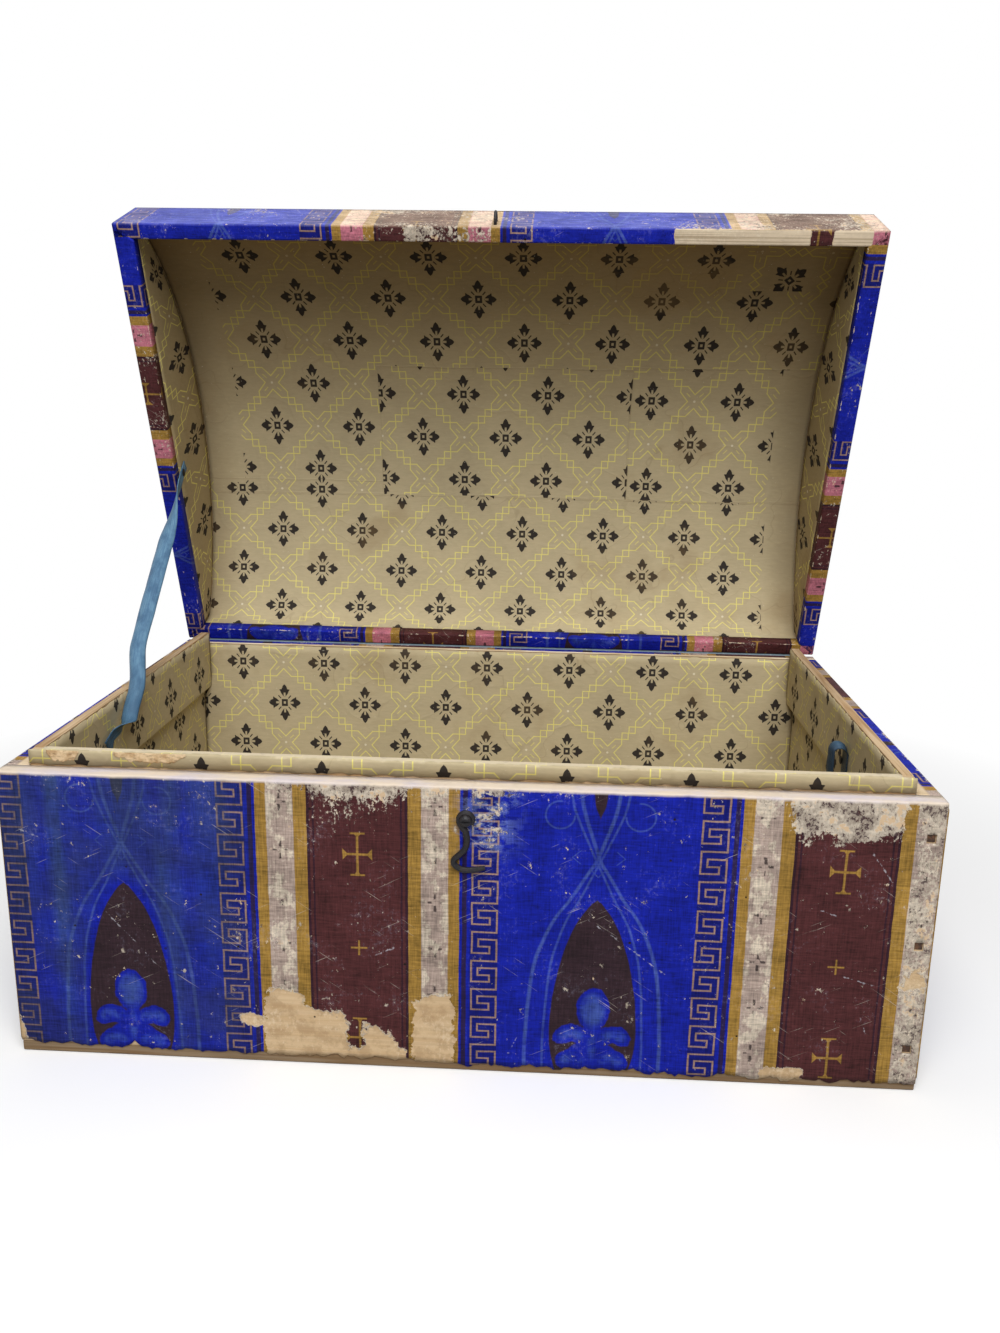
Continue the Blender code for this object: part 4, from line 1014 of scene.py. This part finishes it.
def lid_look(name, rise, front=False):
    """A side of the lid, worn at its edges. The front has lost a strip, and its face is rubbed pale."""
    paper = new_finish(name)
    across, along = block_printed(paper, PINK)
    drift = mottle(paper, 34)
    edges = abs(along - LID_INNER_EDGE - rise).least(abs(along - LID_OUTER_EDGE - rise) + 0.2)
    bare = edges.below(0.1, 1.2) * 0.55
    out = abs(from_arch(across))
    flecks = out.above(STRIPE_FROM, 1) * 0.25 + drift.above(0.56, 0.2) * 0.3
    if front:
        strip = box_of(across + drift * 10, along, *LOST_STRIP, 2)
        strip = strip * (1 - box_of(across, along, *KEPT_PIECE, 2))
        bare = bare.most(strip)
        face = along.above(FRONT_FACE, 2)
        rubbed = mottle(paper, (60, 200, 200), 4.0, 0.65)
        wash = paper.paint(ink(172, 180, 232), ink(236, 214, 188), out.above(MUSTARD_FROM, 1))
        stripes = out.between(MUSTARD_FROM, MAROON_FROM, 1) * 0.3
        stripes = stripes + out.between(STRIPE_FROM, STRIPE_TO, 1) * 0.9
        paper.coat(wash, face * rubbed * (stripes + 0.45))
        flecks = flecks + face * 0.25 + box_of(across, along, *RUBBED_RIM, 2) * 0.45
    relief = worn(paper, flecks, bare)
    if front:
        wood = strip.above(0.6, 0.2)
        grain = mottle(paper, (7, 700, 700)).above(0.54, 0.12)
        paper.coat(ink(228, 218, 198), wood * 0.5)
        paper.coat(ink(148, 128, 100), wood * grain * 0.6)
    return papered(paper, relief)


def lid_x(along, across, up):
    return LID_TURN @ Vector((along, across, up))


def lid_y(along, across, up):
    return LID_TURN @ Vector((across, along, up))


def lid_way(x, y, z):
    """A direction of the shut lid, turned with it."""
    return LID_TURN.to_3x3() @ Vector((x, y, z))


def arch_height(y, radius, centre):
    return centre + math.sqrt(radius**2 - (y - LID_MIDDLE) ** 2)


def arch_line(radius, centre, reach):
    """Points over an arch from front to back: depth and height in the lid."""
    angles = [reach * (2 * i / DOME_STEPS - 1) for i in range(DOME_STEPS + 1)]
    return [(LID_MIDDLE + radius * math.sin(angle), centre + radius * math.cos(angle)) for angle in angles]


lid_front_paper = lid_look("lid_front_wallpaper", LID_RISE, True)
lid_back_paper = lid_look("lid_back_wallpaper", 0.0)
lid_side_paper = lid_look("lid_side_wallpaper", LID_RISE)
under, turned_top, lid_edge = LID_RIM - STAND_OFF, LID_RIM + TURN_IN, LID_RIM + LID_EDGE
end_in = HALF_WIDTH - LID_END - STAND_OFF
narrow_x = (-end_in, end_in)
front_in, front_out = LID_FRONT + LID_BOARD + STAND_OFF, LID_FRONT - STAND_OFF
back_in, back_out = LID_BACK - LID_BOARD - STAND_OFF, LID_BACK + STAND_OFF
for name, inside, outside, way, rise, look in (
    ("lid_front_cover_paper", front_in, front_out, -1, LID_RISE, lid_front_paper),
    ("lid_back_cover_paper", back_in, back_out, 1, 0.0, lid_back_paper),
):
    path = bent_path(((inside, turned_top, *narrow_x), (inside, under, *wide_x), (outside, under, *wide_x),
                      (outside, lid_edge, *wide_x)), COVER_STEP)
    sheet = paper_grid(path, LID_COLUMNS, lid_x, lid_way(0, way, -0.2), (-LID_SHIFT, rise))
    paste(name, sheet, look, "lid")

leg_span = (front_in + PAPER + STAND_OFF, back_in - PAPER - STAND_OFF)
full_span = (LID_FRONT, LID_BACK)
gable_foot = under + FOLD


def gable(along, across, up):
    """Stretches the outer face from the rim to the curve of the dome."""
    if abs(across) > out_x - HAIR and up > gable_foot:
        reach = arch_height(along, DOME_RADIUS, DOME_CENTRE) - gable_foot
        up = gable_foot + (up - gable_foot) * reach / (lid_edge - gable_foot)
    return lid_y(along, across, up)


for name, way, arch_from_front in GABLES:
    path = bent_path(((way * end_in, turned_top, *leg_span), (way * end_in, under, *leg_span),
                      (way * out_x, under, *full_span), (way * out_x, lid_edge, *full_span)), COVER_STEP)
    print_from = (ARCH - (arch_from_front + LID_FRONT * MM), LID_RISE)
    sheet = paper_grid(path, GABLE_COLUMNS, gable, (way, 0, 0), print_from)
    paste(name, sheet, lid_side_paper, "lid")

dome_paper = side_look("dome_wallpaper", False)
dome_line = arch_line(DOME_RADIUS + STAND_OFF, DOME_CENTRE, DOME_SPAN)
path = measured([Vector((*point, *wide_x)) for point in dome_line])
sheet = paper_grid(path, DOME_COLUMNS, lid_x, lid_way(0, 0, 1), (-LID_SHIFT, DOME_AT))
paste("dome_cover_paper", sheet, dome_paper, "lid")


# Lining of the lid
# The same lining, pieced from offcuts across the dome with lapped seams, and one sheet on each end.
# The lower piece, the middle patch and the right piece are each set a little off the main one.
HOLLOW_EDGE, DOME_THICKNESS, HOLLOW_LEG = 0.022, 0.0143, 0.004
HOLLOW_HALF = HALF_DEPTH - LID_BOARD
HOLLOW_RISE = LID_CROWN - DOME_THICKNESS - HOLLOW_EDGE
HOLLOW_RADIUS = (HOLLOW_HALF**2 + HOLLOW_RISE**2) / (2 * HOLLOW_RISE)
HOLLOW_CENTRE = LID_RIM + LID_CROWN - DOME_THICKNESS - HOLLOW_RADIUS
LINING_RADIUS = HOLLOW_RADIUS - STAND_OFF
HOLLOW_SPAN = math.asin((HOLLOW_HALF - STAND_OFF) / LINING_RADIUS)
PANEL_STEP, PANEL_COLUMNS, PANEL_AT = 0.004, 90, (20.0, 10.0)
# Each piece's sides, and how far its print is set off
PIECES = (((-250, 250, -220, -66), (0.0, -17.7)), ((-250, -100, -66, -54), (0.0, -17.7)),
          ((-100, 104, -66, 40), (-15, -7)), ((104, 250, -66, 42), (0.0, -9.7)))
MAIN_AT = (52.0, 60.3)
# The piece set cornerwise at the upper right: its flower, and its left and lower sides
TURNED_FLOWER, TURNED_FROM, HALF_TURN = (209, 114), (175, 105), math.sqrt(0.5)
PLAIN_LEFT, PLAIN_RIGHT, PLAIN_LOW, PLAIN_HIGH = -217, 220, -58, 42
PRINT_TRIM, PRINT_BEND = 0.95, 0.00045


def pieced_look(name):
    """The lining of the dome: each piece's print is set off, and the sides have plain strips."""
    paper = new_finish(name, TAN)
    across, along = printed(paper)
    drift = (mottle(paper, 12, 2.0) - 0.5) * 8
    shift_x, shift_y, seams = across - MAIN_AT[0], along - MAIN_AT[1], []
    for (left, right, low, high), (set_x, set_y) in PIECES:
        sides = ((left + right) / 2, (low + high) / 2, (right - left) / 2, (high - low) / 2)
        edge = stroke(across + drift, along + drift * 0.6, sides)
        inside = edge.below(0, 0.05)
        shift_x = shift_x - inside * set_x
        shift_y = shift_y - inside * set_y
        seams.append(abs(edge + 0.5))
    seam = nearest(seams)
    cornerwise = across.above(TURNED_FROM[0], 0.1) * along.above(TURNED_FROM[1], 0.1)
    off_x, off_y = across - TURNED_FLOWER[0], along - TURNED_FLOWER[1]
    shift_x = shift_x + cornerwise * ((off_x + off_y) * HALF_TURN + LATTICE_X - shift_x)
    shift_y = shift_y + cornerwise * ((off_y - off_x) * HALF_TURN - shift_y)
    lining_print(paper, shift_x, shift_y)
    edge = across + drift * 0.5
    plain = edge.below(PLAIN_LEFT, 0.6) * along.above(PLAIN_LOW, 0.6)
    plain = plain.most(edge.above(PLAIN_RIGHT, 0.6) * along.below(PLAIN_HIGH, 0.6))
    paper.coat(TAN, plain)
    # Painted shade in the inner corners, where the dome lining meets the end panels.
    paper.coat(ink(92, 68, 34), abs(across).above(236, 30) * 0.35)
    # Painted shadow along the lapped seams, broken up by the drift.
    paper.coat(ink(126, 106, 74), seam.below(0.3, 0.4) * drift.above(0, 3) * 0.3)
    # Painted shade: the lining is darkened towards the front board, the top of the open lid, where it lies
    # in shadow.
    paper.shade(paper.paint(WHITE, ink(166, 146, 114), along.above(70, 170)))
    relief = lining_age(paper)
    return lined(paper, relief, seam.below(0.6, 0.6) * 0.4)


pieced_lining = pieced_look("lid_lining")
lined_from = turned_top + STAND_OFF
hollow = arch_line(LINING_RADIUS, HOLLOW_CENTRE, HOLLOW_SPAN)[::-1]
leg_top = hollow[0][1] - HOLLOW_LEG
back_leg = [(back_in, lined_from), (back_in, leg_top)]
front_leg = [(front_in, leg_top), (front_in, lined_from)]
between_ends = end_in - PAPER - STAND_OFF
hollow_line = back_leg + hollow[1:-1] + front_leg
path = measured([Vector((*point, -between_ends, between_ends)) for point in hollow_line])
middle_run = path[-1][1] / 2 * MM


def pasted_on(run):
    """Where the print lies along the dome: a little stretched at the back and shrunk at the front."""
    return PRINT_TRIM * (run - middle_run) - PRINT_BEND * (run - middle_run) ** 2


sheet = paper_grid(path, LINING_COLUMNS, lid_x, lid_way(0, 0, -1), (0.0, 0.0), warp=pasted_on)
paste("dome_lining_paper", sheet, pieced_lining, "lid")

end_lining = lining_look("lid_end_lining", ink(166, 148, 112))
panel_half = HOLLOW_HALF - 2 * STAND_OFF - PAPER


def panel(along, across, up):
    """Stretches the panel from the turned-in paper to the curve under the staves."""
    inside = min(max(along, LID_MIDDLE - panel_half), LID_MIDDLE + panel_half)
    reach = arch_height(inside, LINING_RADIUS, HOLLOW_CENTRE) - PAPER - STAND_OFF - lined_from
    return lid_y(along, across, lined_from + (up - lined_from) * reach / (lid_edge - lined_from))


for name, way in (("lid_left_lining_paper", -1), ("lid_right_lining_paper", 1)):
    path = strip_path(((way * end_in, lined_from), (way * end_in, lid_edge)), leg_span, PANEL_STEP)
    sheet = paper_grid(path, PANEL_COLUMNS, panel, (-way, 0, 0), PANEL_AT)
    paste(name, sheet, end_lining, "lid")


# Linen hinge
# One strip of grey-blue linen glued over the back joint, half on the base and half on the lid.
# It is the box's only hinge, and it bends at the joint.
LINEN, LINEN_LEAF, LINEN_INSET, LINEN_BEND, LINEN_SLACK = 0.0005, 0.026, 0.008, 0.0012, 0.0017
LINEN_STEP, LINEN_COLUMNS, LINEN_FRAY, LINEN_THREADS = 0.002, 120, (0.0006, 0.0006), 900
BACK_TOP = 0.174

cloth = new_finish("grey_linen", ink(134, 150, 158))
across, along = printed(cloth)
thread_turns = math.tau * LINEN_THREADS / MM
weave = (across * thread_turns).math("SINE") * (along * thread_turns).math("SINE") * 0.5 + 0.5
slub = mottle(cloth, 180, 4.0, 0.65)
cloth.coat(ink(92, 108, 122), (weave * 0.5 + slub * 0.8).above(0.62, 0.5) * 0.75)
cloth.coat(ink(196, 204, 206), slub.above(0.64, 0.1) * 0.35)
linen_cloth = dressed(cloth, slub * 0.2 + 0.75, weave + slub, 0.0003)

linen_half = HALF_WIDTH - LINEN_INSET
leaf = Matrix.Rotation(-OPEN_ANGLE, 3, "X") @ Vector((0, 0, LID_RIM + LINEN_LEAF))
corners = ((HINGE.y, BACK_TOP - LINEN_LEAF), (HINGE.y, HINGE.z), (HINGE.y + leaf.y, HINGE.z + leaf.z))
path = strip_path(corners, (-linen_half, linen_half), LINEN_STEP, LINEN_BEND)
sheet = paper_grid(path, LINEN_COLUMNS, across_x, (0, 1, -0.5), (0.0, 0.0), 1, LINEN_FRAY)
leaves = ["linen_leaf_base", "linen_leaf_lid"]
linen_strip = finish_piece("linen_hinge", sheet, linen_cloth, None, leaves)
thicken(linen_strip, LINEN, 0.0)
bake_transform(linen_strip)


# Hook, screw, staple and tacks
# A bent wire hook that turns on a slotted screw in the front, and the wire staple on the lid's
# front that it catches. Black iron, as are the tacks that hold the ribbons.
black_iron = iron_look("black_iron", ink(17, 16, 20), ink(52, 40, 34), 0.35)
for name in ("hook", "hook_screw", "staple", "stay_base_tack", "stay_lid_tack", "stump_tack"):
    clad(name, black_iron)


# Ribbon stay
# A blue silk ribbon, rolled by use, that holds the lid open. It is tacked flat to the lid's left end,
# twists as it falls, and is gathered under a tack on the left lip strip, with a frayed tail.
STAY_WIDTH, RIBBON_THICKNESS = 0.0145, 0.0006
STAY_TAIL, STAY_CLEAR, STAY_TWIST, STAY_ROLL = 0.009, 0.0068, math.radians(78), 0.8
STAY_STEPS, STAY_ACROSS = 90, 12
STAY_RIPPLE, STAY_PLEAT, STAY_FRAY, STAY_GATHER = 0.0004, 0.0007, 0.003, 0.0008
STAY_UPPER = LID_TURN @ Vector((-0.2466, LID_BACK - 0.144, LID_RIM + 0.014))
STAY_LOWER = Vector((-0.2383, -0.061, 0.1615))
INWARD = Vector((1, 0, 0))
RIB_ALONG, RIB_ACROSS = math.tau / 0.55, math.tau / 0.6


def eased(value, start, end):
    """0 before start, 1 after end, and smooth between."""
    share = min(max((value - start) / (end - start), 0.0), 1.0)
    return share * share * (3 - 2 * share)


def ribbon_look(name, shadow_from, shadow_to, dark):
    """Plain silk, pale where the light has bleached it, with painted shade that darkens it towards one end.
    """
    silk = new_finish(name, ink(108, 146, 172))
    across, along = printed(silk)
    mark = print_mark(silk)
    streak = mottle(silk, (1.6, 0.05, 1), 4.0, 0.65, mark)
    cloud = mottle(silk, (0.12, 0.06, 1), 3.0, 0.6, mark)
    rib = (along * RIB_ALONG).math("SINE") * (across * RIB_ACROSS).math("SINE")
    silk.coat(ink(74, 114, 146), streak.above(0.5, 0.3))
    silk.coat(ink(52, 88, 122), cloud.above(0.52, 0.2) * 0.7)
    # Painted shade: the silk is darkened towards one end, where it hangs in shadow.
    silk.coat(dark, along.above((shadow_from + shadow_to) / 2, shadow_to - shadow_from) * 0.85)
    silk.coat(ink(26, 40, 60), rib.above(0.4, 0.8) * 0.18)
    return dressed(silk, streak * 0.2 + 0.42, rib * 0.3 + streak, 0.00025, 0.3)


fall = STAY_LOWER - STAY_UPPER
fall.x = 0
stay_down = fall.normalized()
stay_flat = stay_down.cross(INWARD)
stay_length = fall.length + 2 * STAY_TAIL
lower_tack = 1 - STAY_TAIL / stay_length


def stay_station(share, run):
    """A point of the stay: loose, twisted and rolled between its ends, and pleated under the lower tack."""
    side = 2 * share - 1
    loose = eased(run, 0.05, 0.32) * (1 - eased(run, 0.90, 0.965))
    below_tack = run * stay_length - STAY_TAIL
    spot = STAY_UPPER + stay_down * below_tack
    spot.x += (STAY_LOWER.x - STAY_UPPER.x) * min(max(below_tack / fall.length, 0), 1)
    spot.x += STAY_CLEAR * eased(run, 0.66, 0.82) * (1 - eased(run, 0.915, 0.97))
    twist = STAY_TWIST * loose
    flat = stay_flat * math.cos(twist) + INWARD * math.sin(twist)
    face = stay_down.cross(flat)
    gather = 1 - 0.45 * math.exp(-((run - lower_tack) / 0.022) ** 2)
    half = STAY_WIDTH / 2 * gather * (0.55 + 0.45 * eased(run, 0.03, 0.30))
    roll = (STAY_ROLL + 0.3 * eased(run, 0.5, 0.8)) * loose + 0.02
    depth = half / roll * (1 - math.cos(side * roll))
    ripple = STAY_RIPPLE * loose * noise.noise(Vector((side * 1.5, run * 22, 0)))
    tail = STAY_FRAY * eased(run, 0.985, 1.0) * noise.noise(Vector((side * 6, 4, 0)))
    spot += flat * (half / roll * math.sin(side * roll)) + face * (ripple - depth) + stay_down * tail
    spot.x += eased(run, 0.86, 0.95) * (STAY_PLEAT * abs(math.sin(side * 7)) + STAY_GATHER)
    return spot, (side * STAY_WIDTH / 2 * MM, run * stay_length * MM, 0)


stay_silk = ribbon_look("stay_ribbon", 190, 270, ink(44, 78, 104))
shape = printed_grid(STAY_ACROSS, STAY_STEPS, stay_station)
stay = finish_piece("stay_ribbon", shape, stay_silk, None, ["ribbon_stay"])
thicken(stay, RIBBON_THICKNESS, 0.0)
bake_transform(stay)


# Ribbon stump
# What is left of the right stay: the ribbon doubled over and hanging inside the right lip strip,
# tacked through its back strand. Both strands are creased, and painted dark as shade inside the fold.
STUMP_WIDTH, STUMP_FOLD = 0.013, 0.0055
STUMP_Y, STUMP_TOP, STUMP_WALL = -0.038, 0.161, 0.2383
STUMP_BACK, STUMP_FREE = 0.060, 0.036
STUMP_STEPS, STUMP_ACROSS = 60, 8
STUMP_CREASE, STUMP_CUP, STUMP_SWING, STUMP_SLIDE = 0.0005, 0.0026, 0.0028, 0.0012
stump_bend = math.pi * STUMP_FOLD
free_from = STUMP_BACK + stump_bend
stump_length = free_from + STUMP_FREE


def stump_station(share, run):
    """A point of the stump: up the back strand, over the fold and down the free strand."""
    side, at = 2 * share - 1, run * stump_length
    middle = STUMP_WALL - STUMP_FOLD
    out = -INWARD
    if at < STUMP_BACK:
        x, z = STUMP_WALL, STUMP_TOP - STUMP_BACK + at
    elif at < free_from:
        angle = (at - STUMP_BACK) / STUMP_FOLD
        out = Vector((math.cos(angle), 0, math.sin(angle)))
        x, z = middle + STUMP_FOLD * out.x, STUMP_TOP + STUMP_FOLD * out.z
    else:
        hang = at - free_from
        x, z = middle - STUMP_FOLD + STUMP_SWING * eased(hang, 0.008, STUMP_FREE), STUMP_TOP - hang
    cupped = eased(at, STUMP_BACK - 0.004, STUMP_BACK + stump_bend / 2)
    hung = eased(at, free_from, stump_length)
    half = STUMP_WIDTH / 2 * (1 - 0.22 * hung) * (1 - 0.08 * cupped)
    creased = STUMP_CREASE * eased(at, STUMP_BACK - 0.02, STUMP_BACK)
    crumple = creased * noise.noise(Vector((side * 1.4, at * 180, 7)))
    spot = Vector((x, STUMP_Y + side * half + STUMP_SLIDE * hung, z))
    spot += out * (crumple - STUMP_CUP * side * side * cupped)
    return spot, (side * STUMP_WIDTH / 2 * MM, abs(at - STUMP_BACK - stump_bend / 2) * MM, 0)


# Painted shade: the stump is darkened nearly all over, least at the top of its fold.
stump_silk = ribbon_look("stump_ribbon", -10, 7, ink(14, 20, 30))
shape = printed_grid(STUMP_ACROSS, STUMP_STEPS, stump_station)
stump = finish_piece("stump_ribbon", shape, stump_silk, "base", ["ribbon_stump"])
thicken(stump, RIBBON_THICKNESS, 0.0)
